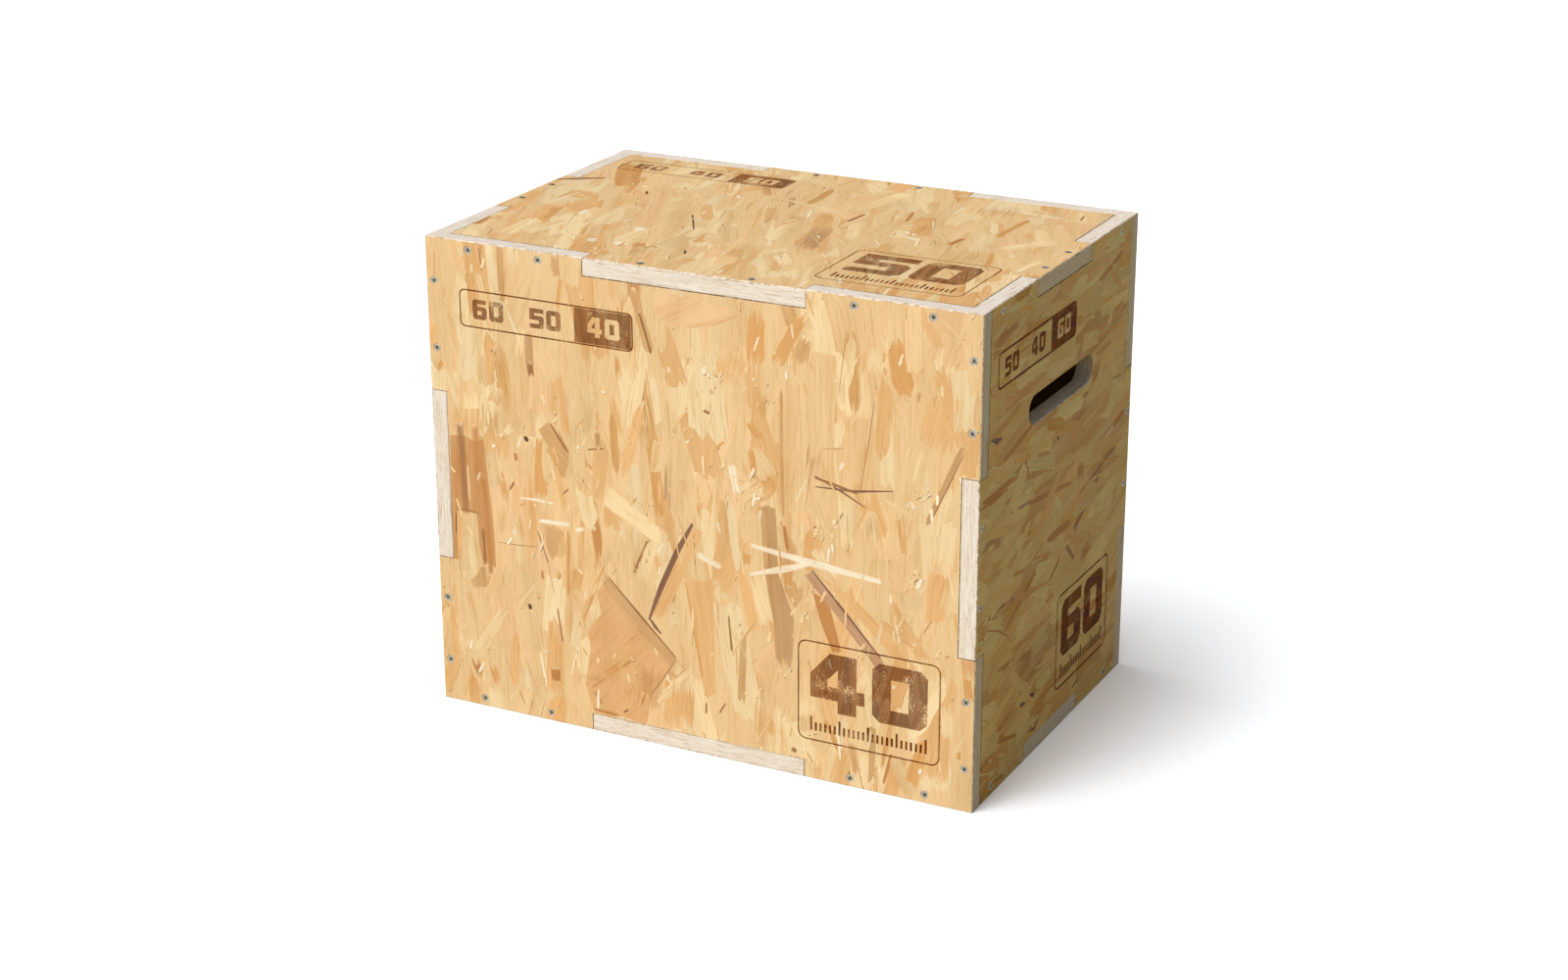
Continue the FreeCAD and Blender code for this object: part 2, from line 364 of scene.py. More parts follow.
def zincPlate():
    material, b, shader = newFinish("zincPlate")
    mottle = b.noise(b.node("ShaderNodeTexCoord").outputs["Object"], zincFinish["mottle"])
    # painted shade: darker in the cross recess and down the sunk sides of the head
    recessShade = b.sums("MULTIPLY", b.read("recessShade")["Fac"], zincFinish["recessShadeShare"])
    colour = b.blend(recessShade, b.ramp(mottle, zincFinish["plate"]), wood(zincFinish["recessShade"]))
    b.put(shader["Base Color"], colour)
    shader["Metallic"].default_value = zincFinish["metallic"]
    b.put(shader["Roughness"], b.spread(mottle, 0.3, 0.7, *zincFinish["roughness"]))
    return material


finishes = {"face": strandFace(), "edge": sawnEdge(), "zinc": zincPlate()}
print("finishes mixed", [m.name for m in finishes.values()])


# boards: millimetres from the middle of the outer face, as seen from outside
joints = {
    "widthTab": 240, "depthTab": 140, "heightTab": 180, "clearance": 0.2,
    # screw places: margins from the ends of a finger, inset from the outside, pitch across a tab
    "widthMargin": 50, "heightMargin": 45, "depthInset": 47,
    "widthPitch": 120, "depthPitch": 60, "heightPitch": 80,
    "slotHalf": 84, "slotRadius": 15, "slotDrop": 130,
}
halfWide, halfDeep, halfTall = boxWide / 2, boxDeep / 2, boxTall / 2
inWide, inDeep, inTall = (h - boardThick for h in (halfWide, halfDeep, halfTall))
midWide, midDeep, midTall = (h - boardThick / 2 for h in (halfWide, halfDeep, halfTall))


def notch(tab):
    return joints[tab] / 2


def tongue(tab):
    return joints[tab] / 2 - joints["clearance"]


uprightFace = {
    "half": (halfWide, halfTall),
    "side": (inWide, notch("heightTab")),
    "end": (inTall, notch("widthTab")),
    "screws": [(halfWide - joints["widthMargin"], midTall),
               (notch("widthTab") + joints["widthMargin"], midTall),
               (midWide, halfTall - joints["heightMargin"]),
               (midWide, notch("heightTab") + joints["heightMargin"])],
}
uprightEnd = {
    "half": (inDeep, halfTall),
    "side": (halfDeep, tongue("heightTab")),
    "end": (inTall, notch("depthTab")),
    "screws": [(midDeep, joints["heightPitch"] / 2), (halfDeep - joints["depthInset"], midTall)],
    "slot": {"half": joints["slotHalf"], "radius": joints["slotRadius"], "up": halfTall - joints["slotDrop"]},
}
flatDeck = {
    "half": (inWide, inDeep),
    "side": (halfWide, tongue("depthTab")),
    "end": (halfDeep, tongue("widthTab")),
    "screws": [(joints["widthPitch"] / 2, midDeep), (midWide, joints["depthPitch"] / 2)],
}
boards = {
    "front": {"shape": uprightFace, "right": (1, 0, 0), "up": (0, 0, 1), "middle": (0, -halfDeep, halfTall)},
    "back": {"shape": uprightFace, "right": (-1, 0, 0), "up": (0, 0, 1), "middle": (0, halfDeep, halfTall)},
    "right": {"shape": uprightEnd, "right": (0, 1, 0), "up": (0, 0, 1), "middle": (halfWide, 0, halfTall)},
    "left": {"shape": uprightEnd, "right": (0, -1, 0), "up": (0, 0, 1), "middle": (-halfWide, 0, halfTall)},
    "top": {"shape": flatDeck, "right": (1, 0, 0), "up": (0, 1, 0), "middle": (0, 0, boxTall)},
    "bottom": {"shape": flatDeck, "right": (1, 0, 0), "up": (0, -1, 0), "middle": (0, 0, 0)},
}
edgeWork = {
    "arris": 0.8, "joint": 0.6, "slot": 0.5,      # what comes off an arris: outside, at a joint, at the slot
    "nearOuter": 1.5, "nearSlot": 3,              # an edge this near to the outside or the slot is part of it
    "holeSides": 18, "holeRadius": 4.35, "holeRagged": (-0.25, 0.3), "holeReach": 8,
    "shankRadius": 2.25, "sink": 2.3,
    "outlineNear": 150,                           # no outer edge lies nearer to the middle than this
    # strength of the painted shade on edge faces: full in the joint grooves, lighter in the screw
    # countersinks and slot walls
    "jointShade": 1.0, "sunkShade": 0.18,
}


def boardMatrix(board):
    right, up = Vector(board["right"]), Vector(board["up"])
    turn = Matrix((right, up, right.cross(up))).transposed().to_4x4()
    return Matrix.Scale(0.001, 4) @ Matrix.Translation(board["middle"]) @ turn


def tabbedOutline(shape):
    (hx, hy), (sx, sy), (ey, ex) = shape["half"], shape["side"], shape["end"]
    quarter = [(sx, sy), (hx, sy), (hx, hy), (ex, hy), (ex, ey)]
    upper = quarter + [(-x, y) for x, y in reversed(quarter)]
    return upper + [(-x, -y) for x, y in upper]


def outerReach(shape):
    return max(shape["half"][0], shape["side"][0]), max(shape["half"][1], shape["end"][0])


def cutBack(shape, a, b):
    # how much is taken off the arris of the edge from a to b
    reachX, reachY = outerReach(shape)
    x, y = (a[0] + b[0]) / 2, (a[1] + b[1]) / 2
    slot = shape.get("slot")
    if slot:
        past = max(abs(x) - slot["half"] + slot["radius"], 0)
        if math.hypot(past, y - slot["up"]) < slot["radius"] + edgeWork["nearSlot"]:
            return edgeWork["slot"]
    free = min(abs(abs(x) - reachX), abs(abs(y) - reachY)) < edgeWork["nearOuter"]
    return edgeWork["arris"] if free else edgeWork["joint"]


def edgeSides(shape, points, i):
    # the two edges that meet at a corner: outward normal and what comes off the arris
    sides = []
    for a, b in ((points[i - 1], points[i]), (points[i], points[(i + 1) % len(points)])):
        dx, dy = b[0] - a[0], b[1] - a[1]
        long = math.hypot(dx, dy)
        sides.append(((dy / long, -dx / long), cutBack(shape, a, b)))
    return sides


def miter(n1, c1, n2, c2):
    turn = n1[0] * n2[1] - n1[1] * n2[0]
    if abs(turn) < 0.02:      # nearly straight on
        return n1[0] * c1, n1[1] * c1
    return (c1 * n2[1] - c2 * n1[1]) / turn, (n1[0] * c2 - n2[0] * c1) / turn


def trimmed(points, shape):
    # the flat face stops short of the outline by the width of the arris
    found = []
    for i, (x, y) in enumerate(points):
        first, second = edgeSides(shape, points, i)
        ox, oy = miter(*first, *second)
        found.append((x - ox, y - oy))
    return found


def arc(cx, cy, radius, start, step, count):
    turns = [math.radians(start + step * i) for i in range(count)]
    return [(cx + radius * math.cos(a), cy + radius * math.sin(a)) for a in turns]


def slotOutline(slot):
    radius, straight = slot["radius"] + edgeWork["slot"], slot["half"] - slot["radius"]
    return arc(straight, slot["up"], radius, -90, 15, 13) + arc(-straight, slot["up"], radius, 90, 15, 13)


def fourWays(places):
    return [(sx * x, sy * y) for x, y in places for sx, sy in ((1, 1), (-1, 1), (-1, -1), (1, -1))]


def holeOutline(middle, dice):
    points = []
    for i in range(edgeWork["holeSides"]):
        a = math.tau * i / edgeWork["holeSides"]
        r = edgeWork["holeRadius"] + dice.uniform(*edgeWork["holeRagged"])
        points.append((middle[0] + r * math.cos(a), middle[1] + r * math.sin(a)))
    return points


# strands: ragged blanks, scattered over a board by one node tree
palette = {
    "straw": "EBC691", "cream": "F2D5A4", "pale": "F9E9CA", "honey": "E6B67B", "amber": "DAA464",
    "rust": "C58A50", "tan": "D6A973", "umber": "A4734A", "smoke": "C99F6F", "plum": "8C6650",
    "bark": "664632", "rose": "EEC592", "shadow": "87592F", "caramel": "D09B64", "biscuit": "E2B179",
    "mauve": "C79B77",
}
# blanks 0 to 7 have torn square ends, 8 to 13 run out to points; shadows is the share that throws a dark edge
everyStrand = {"gather": 0.48, "shadows": 0.0, "vary": 1.0, "light": (-0.07, 0.06), "warm": (-0.03, 0.03)}
strandSets = {
    "flake": {"density": 520, "long": (0.06, 0.18), "wide": (0.016, 0.052), "spread": 0.36, "clump": 0.0,
              "feather": (0.0, 0.35), "blanks": (0, 7), "figures": (0.1, 0.2, 0.3, 0.5, 0.8), "shadows": 0.08,
              "vary": 0.7, "colours": {"straw": 52, "cream": 24, "honey": 14, "rose": 10}},
    "flame": {"density": 230, "long": (0.03, 0.12), "wide": (0.006, 0.022), "spread": 0.24, "clump": 0.5,
              "feather": (0.8, 1.4), "blanks": (8, 13), "figures": (0.3, 0.6, 0.9),
              "colours": {"honey": 50, "amber": 17, "tan": 12, "cream": 17, "rust": 2, "smoke": 2}},
    "strand": {"density": 480, "long": (0.025, 0.095), "wide": (0.007, 0.028), "spread": 0.55, "clump": 0.5,
               "feather": (0.0, 0.5), "blanks": (0, 10), "figures": (0.1, 0.3, 0.5, 0.8), "shadows": 0.12,
               "vary": 0.9,
               "colours": {"straw": 44, "cream": 26, "honey": 17, "amber": 4, "tan": 4, "rose": 5}},
    "stray": {"density": 100, "long": (0.025, 0.085), "wide": (0.008, 0.03), "spread": 1.25, "clump": 0.6,
              "feather": (0.05, 0.5), "blanks": (0, 9), "figures": (0.1, 0.3, 0.6), "shadows": 0.25,
              "vary": 0.8, "colours": {"straw": 46, "cream": 28, "honey": 16, "rose": 8, "tan": 2}},
    "sliver": {"density": 620, "long": (0.008, 0.045), "wide": (0.0008, 0.0036), "spread": 0.7, "clump": 0.8,
               "feather": (0.0, 0.8), "blanks": (4, 13), "figures": (0.2, 0.6), "shadows": 0.12, "colours": {
                   "straw": 28, "cream": 32, "pale": 7, "honey": 20, "amber": 7, "tan": 4, "umber": 2}},
    "chip": {"density": 1500, "long": (0.003, 0.016), "wide": (0.0009, 0.004), "spread": 1.0, "clump": 0.9,
             "gather": 0.54, "feather": (0.0, 0.2), "blanks": (2, 13), "figures": (0.1, 0.3), "shadows": 0.75,
             "colours": {"pale": 18, "cream": 42, "straw": 26, "honey": 8, "amber": 6}},
    "crack": {"density": 36, "long": (0.015, 0.08), "wide": (0.0003, 0.0007), "spread": 0.2, "clump": 0.2,
              "feather": (0.0, 0.1), "blanks": (8, 13), "figures": (0.2,),
              "colours": {"umber": 50, "shadow": 50}},
}


def tornEnd(dice, teeth):
    # depth of the tear at each tooth, with the whole end cut slantwise
    slant = dice.uniform(-0.10, 0.10)
    last = teeth - 1
    ys = [-0.46 + 0.92 * (i + dice.uniform(-0.3, 0.3) * (0 < i < last)) / last for i in range(teeth)]
    return [(0.5 - abs(slant) * 0.5 + slant * y - dice.choice((0.0, 0.015, 0.04, 0.09)), y) for y in ys]


def strandBlanks(square=8, pointed=6):
    # a blank is one unit long and one wide, and the tree stretches it
    dice = random.Random(41)
    blanks = bpy.data.collections.new("strandBlanks")
    scene.collection.children.link(blanks)
    for number in range(square + pointed):
        sway = dice.uniform(-0.09, 0.09)
        narrow = dice.uniform(-0.22, 0.22)      # wedge: wider at one end
        if number < square:
            rightEnd = tornEnd(dice, 7)
            leftEnd = [(-x, -y) for x, y in tornEnd(dice, 7)]
        else:
            rightEnd = [(0.38, -0.32), (0.5, dice.uniform(-0.2, 0.2)), (0.42, 0.22)]
            leftEnd = [(-0.41, 0.27), (-0.5, dice.uniform(-0.2, 0.2)), (-0.36, -0.30)]
        lower = [(x, -0.5 + dice.uniform(0, 0.07)) for x in (-0.24, 0.02, 0.26)]
        upper = [(x, 0.5 - dice.uniform(0, 0.07)) for x in (0.27, 0.0, -0.25)]
        points = [(x, y * (1 - abs(narrow) + 2 * narrow * x) + sway * (1 - 4 * x * x))
                  for x, y in lower + rightEnd + upper + leftEnd]
        mesh = bpy.data.meshes.new(f"strandBlank{number:02d}")
        mesh.from_pydata([(x, y, 0) for x, y in points], [], [tuple(range(len(points)))])
        blanks.objects.link(bpy.data.objects.new(f"strandBlank{number:02d}", mesh))
    return blanks


def openTree(name, inputs, result):
    # a node group with its inputs by kind of socket, giving back one geometry
    tree = bpy.data.node_groups.new(name, "GeometryNodeTree")
    for kind, labels in inputs.items():
        for label in labels:
            tree.interface.new_socket(label, in_out="INPUT", socket_type="NodeSocket" + kind)
    tree.interface.new_socket(result, in_out="OUTPUT", socket_type="NodeSocketGeometry")
    return Bench(tree), tree.nodes.new("NodeGroupInput").outputs


def closeTree(b, asked, instances):
    real = b.node("GeometryNodeRealizeInstances", {0: instances})
    dress = b.node("GeometryNodeSetMaterial", {"Geometry": real.outputs[0], "Material": asked["Finish"]})
    b.node("NodeGroupOutput", {0: dress.outputs[0]})
    return b.tree


def scatterTree():
    b, asked = openTree("scatterStrands", {
        "Geometry": ["Board"], "Collection": ["Blanks"], "Material": ["Finish"],
        "Float": ["Density", "Clump", "Gather", "Lean", "Spread",
                  "Shortest", "Longest", "Narrowest", "Widest"],
        "Int": ["First Blank", "Last Blank", "Seed"]}, "Strands")
    seed = asked["Seed"]

    def chance(low, high, salt):
        feeds = {2: low, 3: high, "Seed": b.sums("ADD", seed, salt)}
        return b.node("FunctionNodeRandomValue", feeds).outputs[1]

    def store(geometry, name, value):
        feeds = {"Geometry": geometry, "Name": name, "Value": value}
        return b.node("GeometryNodeStoreNamedAttribute", feeds, data_type="FLOAT_VECTOR").outputs[0]

    # strands lie closer where a cloudy noise is high
    cells = b.node("GeometryNodeSubdivideMesh", {"Mesh": asked["Board"], "Level": 5})
    cloud = b.node("ShaderNodeTexNoise", {"W": seed, "Scale": 22, "Detail": 2}, noise_dimensions="4D")
    thick = b.node("ShaderNodeMapRange", {
        "Value": cloud.outputs["Fac"], "From Min": asked["Gather"],
        "From Max": b.sums("ADD", asked["Gather"], 0.16), "To Max": 4.0})
    crowd = b.sums("MULTIPLY", asked["Clump"], b.sums("SUBTRACT", thick.outputs[0], 1.0))
    density = b.sums("MULTIPLY", asked["Density"], b.sums("ADD", 1.0, crowd))
    feeds = {"Mesh": cells.outputs[0], "Density": density, "Seed": seed}
    points = b.node("GeometryNodeDistributePointsOnFaces", feeds).outputs["Points"]

    # length, width and turn of each, kept with its middle for the shading
    swing = b.sums("SUBTRACT", b.sums("ADD", chance(0.0, 1.0, 11), chance(0.0, 1.0, 12)), 1.0)
    turn = b.sums("ADD", asked["Lean"], b.sums("MULTIPLY", swing, asked["Spread"]))
    long = chance(asked["Shortest"], asked["Longest"], 13)
    wide = chance(asked["Narrowest"], asked["Widest"], 14)
    marked = store(points, "strandSize", b.place(long, wide, turn))
    marked = store(marked, "strandMiddle", b.node("GeometryNodeInputPosition").outputs[0])
    recall = b.node("GeometryNodeInputNamedAttribute", {"Name": "strandSize"}, data_type="FLOAT_VECTOR")
    long, wide, lean = b.split(recall.outputs["Attribute"])

    shelf = b.node("GeometryNodeCollectionInfo", {
        "Collection": asked["Blanks"], "Separate Children": True, "Reset Children": True})
    pick = b.node("FunctionNodeRandomValue", {4: asked["First Blank"], 5: asked["Last Blank"], "Seed": seed},
                  data_type="INT")
    lay = b.node("GeometryNodeInstanceOnPoints", {
        "Points": marked, "Instance": shelf.outputs[0], "Pick Instance": True,
        "Instance Index": pick.outputs[2], "Rotation": b.place(0, 0, lean), "Scale": b.place(long, wide, 1)})
    return closeTree(b, asked, lay.outputs[0])


def nodeMesh(name, ground, tree, values):
    # evaluate a tree on a small ground mesh and keep the plain result
    carrier = show(name, ground)
    modifier = carrier.modifiers.new(name, "NODES")
    modifier.node_group = tree
    for item in tree.interface.items_tree:
        if item.in_out == "INPUT" and item.name in values:
            modifier[item.identifier] = values[item.name]
    bpy.context.view_layer.update()
    settled = carrier.evaluated_get(bpy.context.evaluated_depsgraph_get())
    result = bpy.data.meshes.new_from_object(settled)
    carrier.modifiers.remove(modifier)
    bpy.data.objects.remove(carrier)
    return result


blanks = strandBlanks()
scatter = scatterTree()
lightFrom = (0.45, -0.55)      # the way shadows slip, unless a board says otherwise
overhang = 12                  # strands are strewn this far past the edge and cut off


def pickColour(plan, dice):
    name = dice.choices(list(plan["colours"]), list(plan["colours"].values()))[0]
    base = wood(palette[name])
    light = 1 + plan["vary"] * dice.uniform(*plan["light"])
    warm = 1 + plan["vary"] * dice.uniform(*plan["warm"])
    return base[0] * light * warm, base[1] * light, base[2] * light / warm, 1.0


def strandOf(points, middle, angle, half, colour, feather, figure, dice, base=False):
    # its mood is a number of its own, the strength of its figure and how far it lifts
    return {"points": points, "middle": middle, "angle": angle, "half": half, "colour": colour,
            "feather": feather, "mood": (dice.random(), figure, dice.uniform(0.2, 1.0)), "base": base}


def shadowOf(strand, look, dice):
    # the same strand in dark brown, slipped out from under it away from the light
    slip = dice.uniform(0.5, 1.5)
    x, y = (slip * way for way in look.get("shade", lightFrom))
    mx, my = strand["middle"]
    return dict(strand, points=[(px + x, py + y) for px, py in strand["points"]], middle=(mx + x, my + y),
                colour=wood(palette["shadow"]), feather=0.0, base=False, mood=(strand["mood"][0], 0.2, -0.2))


def scattered(look, shape, kind, dice):
    plan = {**everyStrand, **strandSets[kind], **look.get(kind, {})}
    x, y = (0.001 * (reach + overhang) for reach in outerReach(shape))
    values = {"Blanks": blanks, "Density": float(plan["density"]), "Clump": plan["clump"],
              "Gather": plan["gather"], "Lean": look["lean"], "Spread": plan["spread"],
              "Seed": dice.randrange(10000), "Finish": finishes["face"]}
    values["Shortest"], values["Longest"] = plan["long"]
    values["Narrowest"], values["Widest"] = plan["wide"]
    values["First Blank"], values["Last Blank"] = plan["blanks"]
    mesh = nodeMesh("strandGround", flatSheet("strandGround", x, y), scatter, values)
    size = mesh.attributes["strandSize"].data
    middle = mesh.attributes["strandMiddle"].data
    found = []
    for polygon in mesh.polygons:
        first = polygon.vertices[0]
        long, wide, angle = size[first].vector
        points = [tuple(1000 * c for c in mesh.vertices[v].co[:2]) for v in polygon.vertices]
        centre = tuple(1000 * c for c in middle[first].vector[:2])
        strand = strandOf(points, centre, angle, (500 * long, 500 * wide), pickColour(plan, dice),
                          dice.uniform(*plan["feather"]), dice.choice(plan["figures"]), dice, kind == "flake")
        if dice.random() < plan["shadows"]:
            found.append(shadowOf(strand, look, dice))
        found.append(strand)
    bpy.data.meshes.remove(mesh)
    return found


# strands laid one by one, in millimetres from the middle of the face
def strip(colour, wide, feather, *line):
    return {"colour": colour, "wide": wide, "feather": feather, "line": line}


def flake(colour, grain, feather, *patch, figure=0.7, base=False):
    return {"colour": colour, "grain": grain, "feather": feather, "patch": patch, "figure": figure,
            "base": base}


def alongGrain(x, y, middle, angle):
    # a place as seen by a strand: along it and across it
    dx, dy = x - middle[0], y - middle[1]
    ca, sa = math.cos(angle), math.sin(angle)
    return dx * ca + dy * sa, dy * ca - dx * sa


def ribbon(line, wide, dice):
    # a strip along a line, full in the middle and run out at both ends
    left, right = [], []
    last = len(line) - 1
    for i, (x, y) in enumerate(line):
        a, b = line[max(i - 1, 0)], line[min(i + 1, last)]
        long = math.hypot(b[0] - a[0], b[1] - a[1])
        nx, ny = -(b[1] - a[1]) / long, (b[0] - a[0]) / long
        half = wide / 2 * (dice.uniform(0.35, 0.6) if i in (0, last) else dice.uniform(0.85, 1.1))
        left.append((x + nx * half, y + ny * half))
        right.append((x - nx * half, y - ny * half))
    return left + right[::-1]


def placedStrand(piece, dice):
    if "line" in piece:
        line = piece["line"]
        if len(line) == 2:
            (x0, y0), (x1, y1) = line
            bend = dice.uniform(-0.012, 0.012)
            line = [(x0 + (x1 - x0) * t - (y1 - y0) * bend * 4 * t * (1 - t),
                     y0 + (y1 - y0) * t + (x1 - x0) * bend * 4 * t * (1 - t))
                    for t in (0, 0.12, 0.5, 0.88, 1)]
        points = ribbon(line, piece["wide"], dice)
        angle = math.atan2(line[-1][1] - line[0][1], line[-1][0] - line[0][0])
    else:
        points = list(piece["patch"])
        angle = math.radians(piece["grain"])
    middle = tuple(sum(p[i] for p in points) / len(points) for i in (0, 1))
    spans = [alongGrain(x, y, middle, angle) for x, y in points]
    half = tuple(max(abs(s[i]) for s in spans) for i in (0, 1))
    return strandOf(points, middle, angle, half, wood(palette[piece["colour"]]), piece["feather"],
                    piece.get("figure", 0.7), dice, piece.get("base", False))


chipHeap = {
    "corners": 7, "cornerStray": 0.35, "cornerReach": (0.55, 1),
    "long": (2, 11), "wide": (0.6, 2.8), "swing": 0.55, "narrow": 0.7, "figure": 0.3,
    "colours": ("pale", "cream", "cream", "straw", "straw", "honey"),
}


def chipCluster(x0, y0, reach, count, look, dice):
    # torn place: short pale chips heaped up, each over a painted shadow slipped out from under it
    heap = []
    stray, corners = chipHeap["cornerStray"], chipHeap["corners"]
    for _ in range(count):
        turn, far = dice.uniform(0, math.tau), reach * math.sqrt(dice.random())
        x, y = x0 + chipHeap["narrow"] * far * math.cos(turn), y0 + far * math.sin(turn)
        lean = look["lean"] + dice.gauss(0, chipHeap["swing"])
        long, wide = dice.uniform(*chipHeap["long"]), dice.uniform(*chipHeap["wide"])
        ca, sa = math.cos(lean), math.sin(lean)
        patch = []
        for step in range(corners):
            a = math.tau * (step + dice.uniform(-stray, stray)) / corners
            k = dice.uniform(*chipHeap["cornerReach"])
            u, v = long * k * math.cos(a), wide * k * math.sin(a)
            patch.append((x + u * ca - v * sa, y + u * sa + v * ca))
        colour = dice.choice(chipHeap["colours"])
        chip = placedStrand(flake(colour, math.degrees(lean), 0.0, *patch, figure=chipHeap["figure"]), dice)
        heap += [shadowOf(chip, look, dice), chip]
    return heap


def layStrands(look, shape, dice):
    strands = []
    for kind in ("flake", "flame", "strand", "stray"):
        strands += scattered(look, shape, kind, dice)
    strands += [placedStrand(piece, dice) for piece in look.get("pieces", [])]
    for place in look.get("torn", []):
        strands += chipCluster(*place, look, dice)
    for kind in ("sliver", "chip", "crack"):
        strands += scattered(look, shape, kind, dice)
    return strands


# flattening: every overlapping strand is cut where another lies on it
def leftTurning(points):
    area = sum(a[0] * b[1] - b[0] * a[1] for a, b in zip(points, points[1:] + points[:1]))
    return points if area > 0 else points[::-1]


def openLayers(bm):
    groups = ((bm.loops.layers.uv, ("strandSpan", "underSpan", "OFBake")),
              (bm.faces.layers.float_color, ("strandColour", "underColour")),
              (bm.faces.layers.float_vector, ("strandBody", "strandMood", "underMood")),
              (bm.faces.layers.float, ("strandBurn",)), (bm.verts.layers.float_vector, ("boardGrain",)))
    return {name: group.new(name) for group, names in groups for name in names}


def settle(outline, holes, strands, marks):
    # a flat mesh, and for each kind of face its strand, the one under it and how far it is burned
    verts, faces = [], []
    for points in [outline] + holes + [s["points"] for s in strands] + [m["points"] for m in marks]:
        faces.append(list(range(len(verts), len(verts) + len(points))))
        verts.extend(Vector(p) for p in leftTurning(points))
    firstStrand = 1 + len(holes)
    firstMark = firstStrand + len(strands)
    flat, _, cells, _, _, owners = delaunay_2d_cdt(verts, [], faces, 1, 1e-4, True)
    bm = bmesh.new()
    layers = openLayers(bm)
    corners = [bm.verts.new((v.x, v.y, 0)) for v in flat]
    keys, lookup = [], {}
    for cell, owner in zip(cells, owners):
        if 0 not in owner or any(0 < o < firstStrand for o in owner):
            continue
        pile = sorted((o - firstStrand for o in owner if firstStrand <= o < firstMark), reverse=True) or [-1]
        burn = round(sum(marks[o - firstMark]["burn"] for o in owner if o >= firstMark), 3)
        # the strand below shows only through a frayed one or a shadow
        loose = pile[0] >= 0 and (strands[pile[0]]["feather"] > 0.05 or strands[pile[0]]["mood"][2] < 0)
        below = next((s for s in pile[1:] if strands[s]["base"]), -1)
        key = (pile[0], below if loose else -1, burn)
        if key not in lookup:
            lookup[key] = len(keys)
            keys.append(key)
        bm.faces.new([corners[c] for c in cell]).material_index = lookup[key]
    bmesh.ops.delete(bm, geom=[v for v in bm.verts if not v.link_faces], context="VERTS")
    bmesh.ops.dissolve_limit(bm, angle_limit=math.radians(0.6), use_dissolve_boundaries=False,
                             verts=bm.verts[:], edges=bm.edges[:], delimit={"MATERIAL"})
    return bm, layers, keys


def boundaryLoops(bm):
    # the corners of every open edge, ring by ring and in order
    follow = {}
    for edge in bm.edges:
        if len(edge.link_loops) == 1:
            loop = edge.link_loops[0]
            follow[loop.vert] = loop.link_loop_next.vert
    loops = []
    while follow:
        start, after = follow.popitem()
        ring = [start]
        while after is not start:
            ring.append(after)
            after = follow.pop(after)
        loops.append(ring)
    return loops


# unrolled sheet of a board: left, low, wide and tall of each part; the edges run along a tape in rows
sheetPlan = {"outer": (0.008, 0.008, 0.984, 0.850), "inner": (0.885, 0.872, 0.107, 0.120),
             "tape": (0.008, 0.872, 0.866, 0.022), "rowStep": 0.030, "tapeScale": 0.00104, "tapeGap": 0.004}


def sheetSpot(part, shape, x, y):
    left, low, wide, tall = sheetPlan[part]
    reachX, reachY = outerReach(shape)
    return left + wide * (x + reachX) / (2 * reachX), low + tall * (y + reachY) / (2 * reachY)


def tapeSpots(ring, tape):
    # where each step round a ring starts on the tape, and how far it runs
    left, low, wide, _ = sheetPlan["tape"]
    spots = []
    for i, v in enumerate(ring):
        run = sheetPlan["tapeScale"] * (ring[(i + 1) % len(ring)].co - v.co).length
        if tape["at"] + run > wide:
            tape["at"] = 0.0
            tape["row"] += 1
        spots.append((left + tape["at"], low + tape["row"] * sheetPlan["rowStep"], run))
        tape["at"] += run
    tape["at"] += sheetPlan["tapeGap"]
    return spots


def skin(bm, upper, lower, material):
    made = []
    for i in range(len(upper)):
        j = (i + 1) % len(upper)
        face = bm.faces.new((upper[j], upper[i], lower[i], lower[j]))
        face.material_index = material
        made.append(face)
    return made


def edgeBand(bm, upper, lower, spots, layer):
    made = skin(bm, upper, lower, 1)
    for face, (start, low, run) in zip(made, spots):
        for loop, along in zip(face.loops, (run, 0.0, 0.0, run)):
            loop[layer].uv = (start + along, low - sheetPlan["tape"][3] * loop.vert.co.z / boardThick)
    return made


